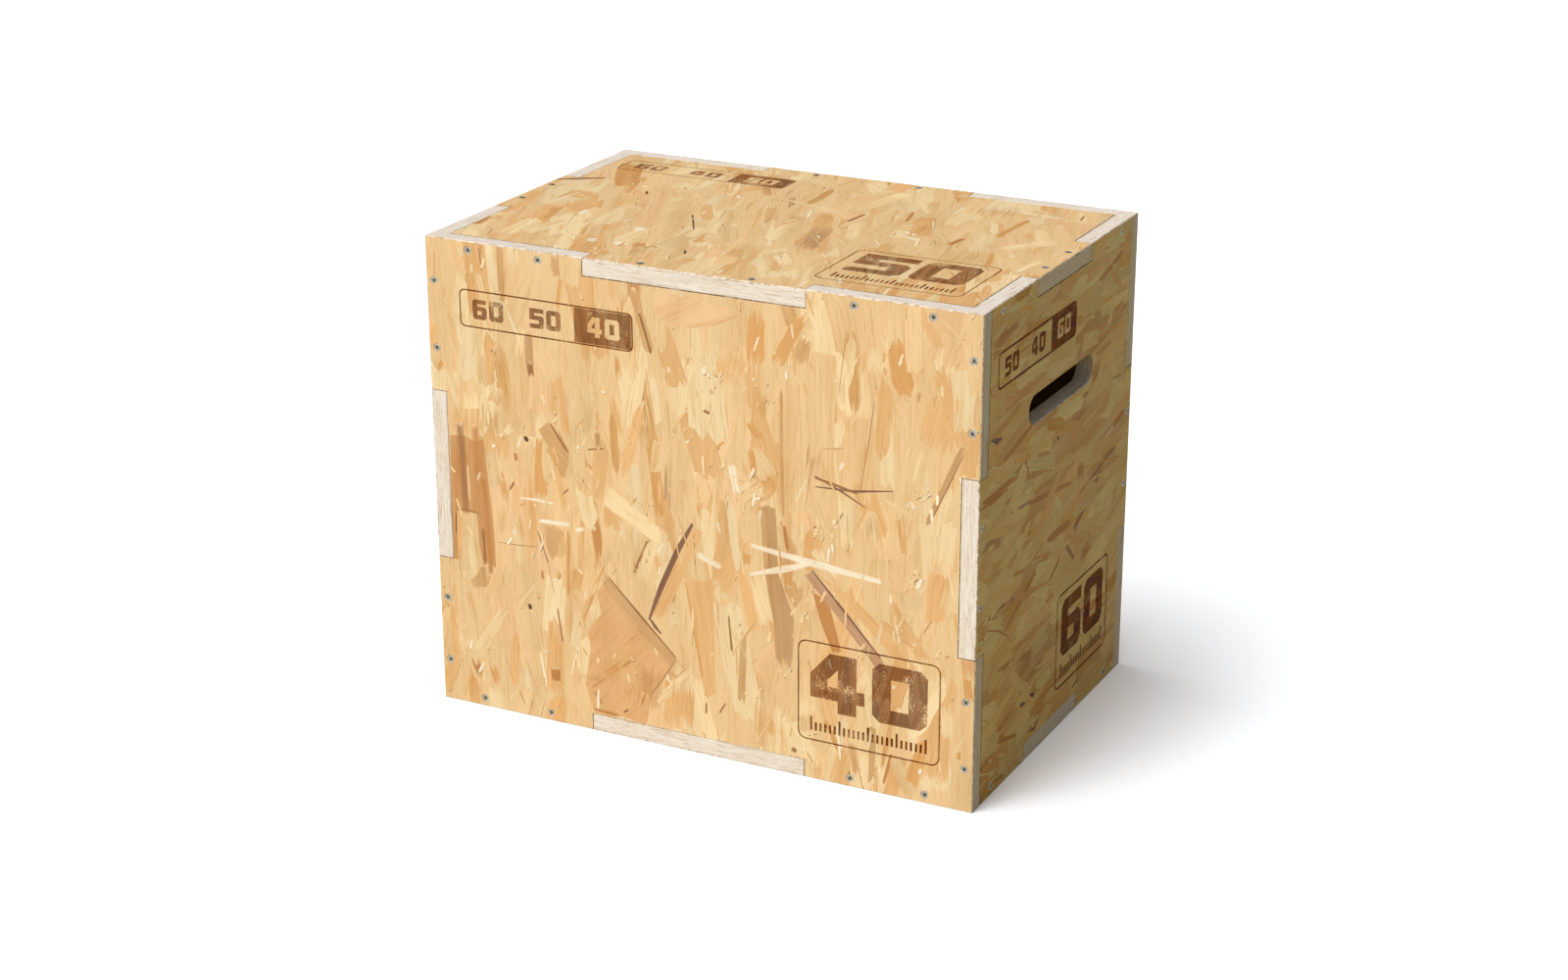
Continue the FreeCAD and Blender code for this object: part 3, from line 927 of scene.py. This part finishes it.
def closeBoard(bm, shape, screws, layer):
    # round the arrises, drop the walls to the inner face and close it; gives back the faces to darken with
    # painted shade: joint grooves, countersinks and slot walls
    joined, sunk, lastRings = [], [], []
    joint = edgeWork["joint"]
    tape = {"at": 0.0, "row": 0}
    for ring in boundaryLoops(bm):
        spots = tapeSpots(ring, tape)
        flat = [tuple(v.co[:2]) for v in ring]
        screw = next((s for s in screws if all(math.dist(p, s) < edgeWork["holeReach"] for p in flat)), None)
        if screw:
            neck, foot = [], []
            for x, y in flat:
                dx, dy = x - screw[0], y - screw[1]
                k = edgeWork["shankRadius"] / math.hypot(dx, dy)
                neck.append(bm.verts.new((screw[0] + dx * k, screw[1] + dy * k, -edgeWork["sink"])))
                foot.append(bm.verts.new((screw[0] + dx * k, screw[1] + dy * k, -boardThick)))
            sunk += edgeBand(bm, ring, neck, spots, layer)
            edgeBand(bm, neck, foot, spots, layer)
            lastRings.append(foot)
            continue
        edge, wall, foot, closed = [], [], [], []
        for i, (x, y) in enumerate(flat):
            (n1, c1), (n2, c2) = edgeSides(shape, flat, i)
            ox, oy = miter(n1, c1, n2, c2)
            ix, iy = miter(n1, joint, n2, joint)
            x, y = x + ox, y + oy
            edge.append(bm.verts.new((x, y, -max(c1, c2))))
            wall.append(bm.verts.new((x, y, -boardThick + joint)))
            foot.append(bm.verts.new((x - ix, y - iy, -boardThick)))
            closed.append(c2 == joint)
        joined += [f for f, shut in zip(edgeBand(bm, ring, edge, spots, layer), closed) if shut]
        sides = edgeBand(bm, edge, wall, spots, layer)
        if min(math.hypot(x, y) for x, y in flat) < edgeWork["outlineNear"]:      # the hand slot
            sunk += sides
        edgeBand(bm, wall, foot, spots, layer)
        lastRings.append(foot)
    edges = [bm.edges.get(pair) for ring in lastRings for pair in zip(ring, ring[1:] + ring[:1])]
    bmesh.ops.triangle_fill(bm, use_beauty=True, use_dissolve=False, edges=edges, normal=(0, 0, -1))
    return {**{f: edgeWork["jointShade"] for f in joined}, **{f: edgeWork["sunkShade"] for f in sunk}}


def tellFace(f, layers, kind, strand, tint):
    # colour, mood and grain of the strand on a face, or of the one under it
    f[layers[kind + "Colour"]] = [c * t for c, t in zip(strand["colour"], tint)] + [1.0]
    f[layers[kind + "Mood"]] = strand["mood"]
    for loop in f.loops:
        along, across = alongGrain(*loop.vert.co[:2], strand["middle"], strand["angle"])
        loop[layers[kind + "Span"]].uv = (0.001 * along, 0.001 * across)


def makeBoard(side):
    board = boards[side]
    shape = board["shape"]
    look = boardLooks[side]
    dice = random.Random(look["seed"])
    screws = fourWays(shape["screws"])
    holes = [holeOutline(s, dice) for s in screws]
    if "slot" in shape:
        holes.append(slotOutline(shape["slot"]))
    strands = layStrands(look, shape, dice)
    bm, layers, keys = settle(trimmed(tabbedOutline(shape), shape), holes, strands, look.get("marks", []))
    faceKeys = {f: keys[f.material_index] for f in bm.faces}
    for f in bm.faces:
        f.material_index = 0
    edgeShade = closeBoard(bm, shape, screws, layers["OFBake"])

    plain = strandOf([], (0, 0), look["lean"], (2000, 2000), wood(palette["straw"]), 0.0, 0.4, dice)
    known = strands + [plain]      # a key of -1 is bare board
    tint = look.get("tint", (1, 1, 1))
    for f in bm.faces:
        # on the outer face the last value is a burned mark, on an edge face the painted shade of joints and
        # recesses
        top, below, burn = faceKeys.get(f, (-1, -1, edgeShade.get(f, 0.0)))
        tellFace(f, layers, "strand", known[top], tint)
        tellFace(f, layers, "under", known[below], tint)
        long, wide = known[top]["half"]
        f[layers["strandBody"]] = (0.001 * long, 0.001 * wide, known[top]["feather"])
        f[layers["strandBurn"]] = burn
        if f.material_index == 0:
            part = "outer" if f in faceKeys else "inner"
            for loop in f.loops:
                loop[layers["OFBake"]].uv = sheetSpot(part, shape, *loop.vert.co[:2])
    seed = look["seed"]
    for v in bm.verts:
        along, across = alongGrain(*v.co[:2], (0, 0), look["lean"])
        v[layers["boardGrain"]] = (0.001 * along + seed, 0.001 * across + seed, 0.001 * v.co.z)
    bmesh.ops.transform(bm, matrix=boardMatrix(board), verts=bm.verts)
    bmesh.ops.recalc_face_normals(bm, faces=bm.faces)
    mesh = bpy.data.meshes.new(side + "Board")
    bm.to_mesh(mesh)
    bm.free()
    mesh.materials.append(finishes["face"])
    mesh.materials.append(finishes["edge"])
    piece = show(side + "Board", mesh)
    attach(piece, "root")
    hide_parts(side + "_panel")
    mesh.calc_loop_triangles()
    print(side, "board pressed:", len(strands), "strands,", len(mesh.loop_triangles), "triangles")


# burned marks: plain block numbers, the solid outline first and then the hole in it
numbers = {
    "0": ([(7, 0), (46, 0), (53, 7), (53, 55), (46, 62), (7, 62), (0, 55), (0, 7)],
          [(18, 15), (35, 15), (35, 47), (18, 47)]),
    "4": ([(27, 0), (45, 0), (45, 13), (53, 13), (53, 27), (45, 27), (45, 62), (19, 62), (0, 38), (0, 13),
           (27, 13)], [(17, 27), (27, 27), (27, 46), (17, 34)]),
    "5": ([(0, 0), (46, 0), (53, 7), (53, 33), (46, 40), (18, 40), (18, 48), (53, 48), (53, 62), (0, 62),
           (0, 26), (35, 26), (35, 14), (0, 14)], None),
    "6": ([(7, 0), (46, 0), (53, 7), (53, 33), (46, 40), (18, 40), (18, 48), (53, 48), (53, 62), (7, 62),
           (0, 55), (0, 7)], [(18, 14), (35, 14), (35, 27), (18, 27)]),
}


markPlan = {
    "cell": (53, 62),                             # the numbers above are drawn in a cell of this size
    "lineBurn": 1.02,
    "panelRound": 9, "panelSide": 13.5, "panelGap": 8, "panelTall": 62, "panelDrop": 72,
    "ticks": 25, "tickLow": 11, "tickHigh": 20, "tickLong": 26, "longEvery": 6, "tickExtra": 0.9,
    "rowRound": 6, "rowTall": 0.52, "rowWide": 0.80, "rowGap": 3, "rowMargin": 2,
}


def stampNumber(text, x, y, wide, tall, gap, burn):
    marks = []
    cellWide, cellTall = markPlan["cell"]
    for place, figure in enumerate(text):
        solid, hole = numbers[figure]
        left = x + place * (wide + gap)
        for points, way in ((solid, 1), (hole, -1)):
            if points:
                marks.append({"burn": way * burn, "points": [
                    (left + px * wide / cellWide, y + py * tall / cellTall) for px, py in points]})
    return marks


def roundedBox(x0, y0, x1, y1, radius):
    left, low, right, high = x0 + radius, y0 + radius, x1 - radius, y1 - radius
    corners = ((right, high), (left, high), (left, low), (right, low))
    return [p for i, (x, y) in enumerate(corners) for p in arc(x, y, radius, 90 * i, 22.5, 5)]


def stampFrame(x0, y0, x1, y1, radius, line):
    burn = markPlan["lineBurn"]
    return [{"burn": burn, "points": roundedBox(x0, y0, x1, y1, radius)},
            {"burn": -burn, "points": roundedBox(x0 + line, y0 + line, x1 - line, y1 - line, radius - line)}]


def stampBar(x0, y0, x1, y1, burn):
    return {"burn": burn, "points": [(x0, y0), (x1, y0), (x1, y1), (x0, y1)]}


def heightPanel(text, x0, y0, x1, y1, burn, line=1.5):
    # framed height of the face, with a plain row of measuring ticks under it
    plan = markPlan
    side, gap, ticks, thick = plan["panelSide"], plan["panelGap"], plan["ticks"], line + plan["tickExtra"]
    marks = stampFrame(x0, y0, x1, y1, plan["panelRound"], line)
    wide = (x1 - x0 - 2 * side - gap) / 2
    marks += stampNumber(text, x0 + side, y1 - plan["panelDrop"], wide, plan["panelTall"], gap, burn)
    for i in range(ticks):
        x = x0 + side + (x1 - x0 - 2 * side - thick) * i / (ticks - 1)
        high = plan["tickHigh"] if i % plan["longEvery"] else plan["tickLong"]
        marks.append(stampBar(x, y0 + plan["tickLow"], x + thick, y0 + high, plan["lineBurn"]))
    return marks


def heightRow(texts, x0, y0, x1, y1, burn, line=1.5):
    # framed row of the three heights, the one of this face cut out of a solid block
    plan = markPlan
    gap, margin = plan["rowGap"], plan["rowMargin"]
    marks = stampFrame(x0, y0, x1, y1, plan["rowRound"], line)
    tall = (y1 - y0) * plan["rowTall"]
    wide = tall * plan["rowWide"]
    low = (y0 + y1 - tall) / 2
    step = (x1 - x0) / 3
    for i, text in enumerate(texts):
        x = x0 + step * (i + 0.5) - wide - gap / 2
        if i == 2:
            marks.append(stampBar(x0 + 2 * step, y0 + margin, x1 - margin, y1 - margin, burn))
        marks += stampNumber(text, x, low, wide, tall, gap, -burn if i == 2 else burn)
    return marks


# what the eye catches on each board in view
frontPieces = [
    flake("straw", 90, 0.055, (93, 195), (152, 190), (150, 60), (120, 30), (93, 22)),
    flake("honey", 90, 0.35, (-280, 77), (-262, 75), (-240, 78), (-240, 45), (-252, 42), (-262, 46),
          (-280, 44), figure=0.4),
    flake("caramel", 90, 0, (-280, 44), (-283, -90), (-276, -91), (-276, -37), (-251, -36), (-250, -70),
          (-246, -92), (-240, -88), (-231, -92), (-231, -60), (-234, -20), (-238, 20), (-240, 45), (-252, 42),
          (-262, 46), figure=0.9, base=True),
    strip("umber", 17, 1.7, (-268, 60), (-266, 10), (-264, -40)),
    strip("rust", 13, 1.7, (-250, 60), (-248, 4)),
    strip("rust", 11, 1.7, (-242, 6), (-238, -50), (-237, -100)),
    strip("umber", 4, 0.9, (-245, -50), (-243, -90)),
    strip("straw", 2.6, 0.6, (-260, 16), (-259, -24)),
    # a painted shadow line along the top of the pale inset
    strip("umber", 2, 0.3, (-275, -35), (-262, -34), (-247, -36)),
    strip("bark", 1.4, 0.3, (-276, -38), (-277, -62)),
    strip("tan", 18, 0.8, (-231, 88), (-230, 46)),
    flake("biscuit", 47, 0, (-99, -77), (-72, -104.5), (-53.6, -121), (-22, -151), (-35, -174), (-51, -196),
          (-55, -219), (-58, -232), (-84, -228), (-118, -231), (-128, -200), (-121, -160), (-124, -140),
          (-108, -120), (-112, -96), figure=0.4, base=True),
    strip("caramel", 36, 1.8, (-50, -164), (-56, -216)),
    strip("smoke", 48, 1.7, (-106, -70), (-61, -114), (-12, -160)),
    strip("amber", 13, 1, (-126, -204), (-96, -180), (-66, -155)),
    strip("rust", 11, 1.1, (-124, -200), (-104, -184)),
    strip("rust", 8, 1.1, (-88, -176), (-72, -160)),
    strip("amber", 12, 1, (-84, -214), (-76, -184)),
    strip("rust", 9, 1.1, (-64, -214), (-58, -196)),
    strip("rust", 3.5, 0.5, (-118, -206), (-109, -220)),
    strip("rust", 4, 0.6, (-120, -226), (-88, -228)),
    strip("umber", 2.4, 0.4, (-78, -219), (-84, -223)),
    flake("straw", 96, 0, (-104, -71), (-72, -104), (-53, -120.5), (-14, -157.5), (-2, -148), (-6, -132),
          (-16, -138), (-20, -112), (-30, -118), (-34, -96), (-46, -104), (-50, -84), (-62, -90), (-66, -70),
          (-78, -78), (-82, -58), (-98, -62), figure=0.4),
    strip("umber", 2.4, 0.25, (-99, -77), (-61, -114), (-22, -151)),
    strip("umber", 1.3, 0.25, (-22, -152), (-38, -177), (-51, -196)),
    strip("cream", 10, 0.4, (-6, -160), (-26, -184), (-44, -204)),
    flake("honey", 88, 0.35, (-26, -176), (0, -180), (-5, -225), (-30, -228)),
    flake("honey", 96, 0.1, (-11, -60), (20, -62), (22, -180), (12, -188), (3, -140), figure=0.4),
    strip("amber", 5, 0.7, (-11, -64), (4, -145), (11, -185)),
    strip("umber", 1.8, 0.4, (-159, -122), (-154, -160)),
    strip("amber", 4, 0.7, (-144, -59), (-147, -109)),
    strip("amber", 7, 0.7, (-120, -104), (-133, -139)),
    strip("amber", 5, 0.9, (-102, -63), (-130, -133)),
    flake("rust", 90, 0.2, (-169, -190), (-158, -189), (-158, -205), (-168, -206)),
    flake("tan", 128, 0.05, (-175, 66), (-162, 76.4), (-140, 50), (-141, 36), (-146, 20), (-162, 46),
          base=True),
    strip("caramel", 8, 0.9, (-157, 72), (-142, 46)),
    strip("umber", 2.2, 0.25, (-161, 75), (-141, 47)),
    strip("amber", 4, 0.6, (-166, 50), (-146, 19)),
    strip("umber", 1.6, 0.2, (-149, 2), (-142, 9)),
    strip("pale", 3, 0.4, (-200, -10), (-178, -9), (-158, -10)),
    strip("pale", 4.5, 0.3, (-178, -31), (-140, -29)),
    strip("pale", 4, 0.3, (-136, -34), (-125, -31)),
    flake("tan", 95, 0.25, (-170, -36), (-160, -33), (-155, -44), (-157, -62), (-163, -72), (-170, -58)),
    strip("umber", 1.6, 0.4, (-180, -42), (-168, -76)),
    strip("tan", 1.4, 0.3, (-168, -76), (-162, -108)),
    strip("amber", 5, 0.9, (-144, -34), (-146, -110)),
    strip("umber", 0.9, 0.2, (-228, -63), (-204, -62), (-180, -60)),
    strip("rust", 3, 0.4, (-176, -84), (-175, -95)),
    strip("rust", 4.5, 0.3, (-203, 38), (-202, 28)),
    strip("amber", 9, 0.9, (-222, 12), (-214, -20)),
    strip("umber", 1.6, 0.2, (-119, 54), (-100, 58)),
    strip("smoke", 6, 0.5, (-107, 76), (-107, 56)),
    strip("tan", 26, 1.1, (-130, 30), (-112, 12)),
    strip("umber", 3, 0.3, (8, 116), (22, 112)),
    strip("tan", 4, 0.6, (95, 150), (97, 20)),
    strip("amber", 8, 0.4, (58, 112), (74, 95)),
    strip("amber", 7, 0.5, (62, 84), (66, 60)),
    strip("rust", 4, 0.3, (98, 12), (102, -14)),
    strip("amber", 7, 0.3, (102, -33), (103, -52)),
    strip("amber", 9, 0.3, (58, -22), (56, -38)),
    strip("smoke", 16, 1.2, (190, 42), (191, 8)),
    strip("tan", 18, 1, (131, 100), (126, 64)),
    strip("tan", 1.3, 0.2, (138, 96), (160, 100)),
    strip("umber", 0.8, 0.15, (194, 170), (187, 112), (178, 58)),
    flake("honey", 62, 0.28, (2, -3), (9, -12), (-6, -46), (-30, -100), (-44, -115), (-49, -106), (-28, -60),
          (-12, -25)),
    strip("plum", 5.5, 0.17, (-2, -4), (-20, -37), (-38, -77), (-53, -116)),
    strip("plum", 4, 0.15, (-53, -112), (-46, -121), (-39, -128)),
    flake("smoke", 94, 0.19, (72, 26), (80, 29), (89, 27), (92, -40), (109, -84), (107, -136), (90, -140),
          (86, -90), (77, -40)),
    strip("tan", 3.5, 0.15, (76, 22), (79, -35)),
    flake("honey", 138, 0.33, (134, -32), (180, -55), (240, -110), (232, -118), (190, -80)),
    flake("rust", 110, 0.1, (129, -52), (140, -56), (146.5, -60), (160, -109), (151, -112), (137, -80),
          figure=0.9),
    flake("mauve", 133, 0.04, (120.7, -36), (128, -29), (163, -66), (202, -107), (210, -120), (201, -124),
          (190, -110), (155.7, -73)),
    strip("plum", 3.2, 0.17, (128, -29), (163, -66), (202, -107)),
    strip("plum", 2.2, 0.15, (130, 68), (158, 57), (185, 44)),
    strip("plum", 3, 0.15, (130, 57), (172, 59), (213, 66)),
    strip("umber", 2.6, 0.15, (130, 66), (176, 57)),
    strip("cream", 3, 0.15, (204, 56), (236, 42)),
    strip("pale", 7.5, 0.17, (62, -15), (130, -22), (202, -28)),
    strip("pale", 7.5, 0.22, (60, -46), (96, -34), (132, -21)),
    strip("pale", 7, 0.17, (1, -34), (30, -44)),
    flake("cream", 40, 0.44, (46, 62), (62, 56), (85, 44), (80, 30), (56, 26), (42, 44)),
    strip("pale", 9, 0.39, (41, 66), (48, 32)),
    strip("smoke", 5.5, 0.15, (282, 121), (247, 38)),
    strip("umber", 1.2, 0.15, (283, 114), (250, 40)),
    flake("rose", 24, 0.11, (-42, 229), (48, 221), (53, 214), (24, 202), (0, 196), (-30, 194), (-41, 205)),
    strip("tan", 11, 0.28, (-64, 228), (-46, 163)),
    strip("umber", 4, 0.44, (-58, 205), (-45, 163)),
    strip("smoke", 9, 0.28, (-183, 166), (-182, 121)),
    strip("umber", 6, 0.44, (-183, 136), (-181, 120)),
    strip("tan", 8, 0.28, (-213, 252), (-212, 192)),
    strip("amber", 14, 0.5, (88, 170), (119, 227)),
    flake("tan", 66, 0.22, (104, 180), (116, 207), (128, 202), (121, 172)),
    strip("amber", 7, 0.44, (141, -183), (161, -218)),
    strip("tan", 9, 0.44, (170, -200), (178, -238)),
    strip("rust", 3, 0.33, (214, -205), (206, -240)),
    strip("rust", 10, 0.61, (-262, -196), (-252, -220)),
    strip("amber", 9, 0.61, (-240, -200), (-232, -224)),
    flake("bark", 10, 0.15, (-193, 56), (-189, 57), (-186, 54), (-188, 51), (-192, 52)),
    flake("bark", 60, 0.15, (-194, -125), (-190, -124), (-189, -129), (-193, -131)),
    flake("umber", 80, 0.15, (-217, 56), (-214, 57), (-214, 50), (-216, 49)),
    strip("umber", 5, 0.15, (106, -222), (112, -225)),
]
topPieces = [
    flake("amber", 116, 0.22, (-273, 147), (-240, 135), (-222, 95), (-207, 60), (-230, 55), (-250, 90),
          (-262, 115)),
    strip("plum", 7, 0.22, (-300, 50), (-278, 64), (-254, 80)),
    strip("bark", 1.8, 0.15, (-102, -10), (-72, -62)),
    flake("pale", 100, 0.15, (-209, -44), (-203, -42), (-200, -58), (-207, -64)),
    flake("pale", 20, 0.15, (-132, -80), (-120, -78), (-114, -86), (-122, -92)),
    flake("pale", 30, 0.15, (-152, -138), (-142, -131), (-135, -142), (-146, -146)),
    flake("pale", 10, 0.15, (-122, -134), (-108, -133), (-103, -140), (-116, -144)),
    strip("pale", 4, 0.15, (118, 26), (134, 18)),
    strip("pale", 4, 0.15, (120, 12), (146, 2)),
    strip("pale", 4.5, 0.15, (195, 146), (238, 142)),
    strip("cream", 5, 0.28, (-40, 84), (30, 62)),
    flake("tan", 100, 0.55, (150, 158), (188, 162), (194, 120), (170, 112), (152, 124)),
    strip("amber", 7, 0.44, (212, 122), (208, 46)),
    strip("umber", 4, 0.28, (55, 68), (51, 34)),
    strip("rust", 4, 0.33, (95, 98), (104, 60)),
    strip("rust", 7, 0.44, (182, 30), (176, -2)),
    strip("umber", 2, 0.15, (256, 162), (259, 142)),
    strip("bark", 2.5, 0.15, (-188, 50), (-182, 38)),
    strip("bark", 2.5, 0.15, (-43, -132), (-38, -144)),
    flake("rust", 96, 0.5, (-286, -108), (-276, -110), (-274, -138), (-282, -146)),
    strip("amber", 13, 0.66, (-240, -40), (-226, -100)),
    strip("smoke", 22, 0.66, (40, 10), (58, -80)),
]
rightPieces = [
    flake("bark", 168, 0.17, (-178, 123), (-165, 121), (-149, 118), (-151, 115), (-163, 114)),
    flake("amber", 160, 0.22, (-41, 100), (0, 92), (15, 82), (10, 75), (-30, 86)),
    flake("rust", 80, 0.28, (52, 27), (69, 24), (70, 6), (54, 4)),
    strip("amber", 2.4, 0.15, (70, 16), (120, 6), (176, -5)),
    strip("amber", 7, 0.28, (-158, -60), (-86, -66), (-14, -76)),
    strip("rust", 5, 0.28, (-16, -76), (14, -60)),
    flake("amber", 12, 0.39, (-200, -58), (-180, -54), (-168, -64), (-182, -76), (-198, -72)),
    strip("rust", 2.4, 0.15, (-172, -70), (-146, -80), (-118, -97)),
    strip("umber", 5, 0.17, (28, -54), (52, -77)),
    strip("rust", 5, 0.28, (-194, 66), (-116, 67)),
    strip("amber", 6, 0.33, (-62, -38), (-14, -45)),
    strip("amber", 5, 0.33, (-70, -40), (-34, -28)),
    strip("amber", 7, 0.44, (-112, -116), (-6, -115)),
    strip("rust", 5, 0.33, (-70, -164), (-30, -155)),
    strip("rust", 8, 0.39, (150, 36), (182, 43)),
    strip("amber", 6, 0.39, (92, 128), (136, 132)),
    strip("cream", 13, 0.28, (146, 106), (158, 56)),
    strip("cream", 8, 0.33, (126, 148), (142, 190)),
    strip("honey", 12, 0.39, (-30, 8), (12, 38)),
    strip("cream", 8, 0.28, (-126, -40), (-72, 8)),
    strip("bark", 4, 0.15, (-84, -184), (-70, -186)),
    strip("bark", 4, 0.15, (-58, -182), (-46, -188)),
    strip("bark", 2.4, 0.15, (-8, 74), (-2, 68)),
    strip("cream", 3, 0.15, (10, -48), (40, -52)),
    strip("rust", 7, 0.55, (-148, 92), (-70, 106)),
    strip("amber", 6, 0.55, (-148, 140), (-40, 150)),
    strip("rust", 8, 0.55, (90, 204), (160, 220)),
    strip("rust", 12, 0.66, (-170, 212), (-110, 222)),
]
# torn places: middle, reach and number of chips
frontTorn = [
    (-60, 2, 24, 9), (20, 150, 16, 8), (66, 146, 26, 10), (142, 8, 22, 12), (60, 40, 22, 12),
    (-120, 60, 24, 6), (240, 60, 20, 9), (-10, 92, 20, 6), (120, -70, 26, 6), (236, -30, 20, 9),
    (-180, -60, 16, 4), (226, -60, 20, 8),
]
endFlame = {"density": 420, "long": (0.02, 0.13), "wide": (0.003, 0.017), "spread": 0.5,
            "feather": (0.1, 1.0), "figures": (0.3, 1.0),
            "colours": {"honey": 16, "amber": 26, "tan": 6, "cream": 14, "rust": 28, "umber": 10}}
endFlake = {"figures": (0.1, 0.3, 0.6), "vary": 1.2,
            "colours": {"straw": 46, "cream": 20, "honey": 18, "tan": 10, "amber": 6}}
quiet = {"shadows": 0.06}
boardLooks = {
    "front": {"seed": 3, "lean": math.radians(90), "pieces": frontPieces, "torn": frontTorn,
              "tint": (1.0, 1.01, 1.06),
              "marks": heightPanel("40", 113, -208.5, 265, -102.5, 0.86)
              + heightRow(("60", "50", "40"), -262, 162, -65, 201, 0.84)},
    "back": {"seed": 5, "lean": math.radians(90)},
    "right": {"seed": 8, "lean": math.radians(4), "pieces": rightPieces, "tint": (0.99, 1.01, 0.78),
              "flame": endFlame, "flake": endFlake,
              "marks": heightPanel("60", 9, -208, 152, -103, 1.01, 2.4)
              + heightRow(("50", "40", "60"), -163, 166, 34, 203, 1.01, 2.4)},
    "left": {"seed": 13, "lean": math.radians(-4)},
    "top": {"seed": 21, "lean": math.radians(107), "pieces": topPieces, "shade": (0.45, 0.5),
            "flake": quiet, "strand": quiet, "stray": quiet,
            "marks": heightPanel("50", 106.5, -160, 258.5, -52.5, 0.86)
            + heightRow(("60", "40", "50"), -267, 121, -67, 160, 0.86)},
    "bottom": {"seed": 34, "lean": math.radians(80)},
}
for side in boards:
    makeBoard(side)

for blank in list(blanks.objects):
    bpy.data.objects.remove(blank)
bpy.data.collections.remove(blanks)


# screws: one countersunk screw with a cross recess, driven at every hole by a second tree
screwPlan = {
    "sides": 24,
    "headTop": (3.55, -0.30),        # radius and depth below the face
    "headRim": (3.95, -0.55),
    "neck": (1.95, -2.45),
    "shank": (1.80, -34.0),
    "tip": -39.5,
    "crossReach": 2.15,
    "crossHalf": 0.52,
    "crossDeep": 1.9,
    "crossTaper": 0.55,
    # painted shade: full in the cross recess, less on the rim and shank below the face
    "crossShade": 1.0,
    "sideShade": 0.6,
}


def screwBlank():
    plan = screwPlan
    bm = bmesh.new()
    recessShade = bm.verts.layers.float.new("recessShade")
    turns = [math.tau * i / plan["sides"] for i in range(plan["sides"])]

    def ring(radius, height):
        return [bm.verts.new((radius * math.cos(a), radius * math.sin(a), height)) for a in turns]

    reach, half = plan["crossReach"], plan["crossHalf"]
    arm = [(reach, -half), (reach, half), (half, half)]
    cross = [(x * c - y * s, x * s + y * c) for c, s in ((1, 0), (0, 1), (-1, 0), (0, -1)) for x, y in arm]
    radius, top = plan["headTop"]
    rim = [(radius * math.cos(a), radius * math.sin(a)) for a in turns]
    points = [Vector(p) for p in rim + cross]
    loops = [list(range(len(rim))), list(range(len(rim), len(points)))]
    flat, _, cells, _, _, owners = delaunay_2d_cdt(points, [], loops, 1, 1e-5, True)
    corners = [bm.verts.new((v.x, v.y, top)) for v in flat]
    for cell, owner in zip(cells, owners):
        if 1 not in owner:
            bm.faces.new([corners[c] for c in cell])

    def nearest(x, y):
        return min(corners, key=lambda v: (v.co.x - x) ** 2 + (v.co.y - y) ** 2)

    taper = plan["crossTaper"]
    lip = [nearest(x, y) for x, y in cross]
    floor = [bm.verts.new((x * taper, y * taper, top - plan["crossDeep"])) for x, y in cross]
    skin(bm, lip, floor, 0)
    bm.faces.new(floor)
    # painted shade in the cross recess
    for v in lip + floor:
        v[recessShade] = plan["crossShade"]
    above = [nearest(x, y) for x, y in rim]
    for radius, height in (plan["headRim"], plan["neck"], plan["shank"]):
        below = ring(radius, height)
        skin(bm, above, below, 0)
        above = below
        # painted shade, weaker, on the rim, neck and shank
        for v in below:
            v[recessShade] = plan["sideShade"]
    point = bm.verts.new((0, 0, plan["tip"]))
    for a, b in zip(above, above[1:] + above[:1]):
        bm.faces.new((a, b, point))
    bmesh.ops.recalc_face_normals(bm, faces=bm.faces)
    bmesh.ops.scale(bm, vec=(0.001, 0.001, 0.001), verts=bm.verts)
    mesh = bpy.data.meshes.new("screwBlank")
    bm.to_mesh(mesh)
    bm.free()
    return show("screwBlank", mesh)


def driveTree():
    b, asked = openTree("driveScrews", {
        "Geometry": ["Places"], "Object": ["Screw"], "Vector": ["Facing"], "Int": ["Seed"],
        "Material": ["Finish"]}, "Screws")
    shelf = b.node("GeometryNodeObjectInfo", {"Object": asked["Screw"], "As Instance": True})
    stand = b.node("GeometryNodeInstanceOnPoints", {
        "Points": asked["Places"], "Instance": shelf.outputs["Geometry"], "Rotation": asked["Facing"]})
    spin = b.node("FunctionNodeRandomValue", {0: (0, 0, 0), 1: (0, 0, math.tau), "Seed": asked["Seed"]},
                  data_type="FLOAT_VECTOR")
    turn = b.node("GeometryNodeRotateInstances", {"Instances": stand.outputs[0], "Rotation": spin.outputs[0]})
    return closeTree(b, asked, turn.outputs[0])


screw = screwBlank()
drive = driveTree()
for side, board in boards.items():
    matrix = boardMatrix(board)
    spots = [matrix @ Vector((x, y, 0)) for x, y in fourWays(board["shape"]["screws"])]
    ground = bpy.data.meshes.new(side + "Places")
    ground.from_pydata(spots, [], [])
    mesh = nodeMesh(side + "Places", ground, drive, {
        "Screw": screw, "Facing": matrix.to_euler(), "Seed": boardLooks[side]["seed"],
        "Finish": finishes["zinc"]})
    mesh.name = side + "Screws"
    piece = show(side + "Screws", mesh)
    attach(piece, "root")
    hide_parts(side + "_screws")
    print(side, "screws driven:", len(spots))
bpy.data.objects.remove(screw)
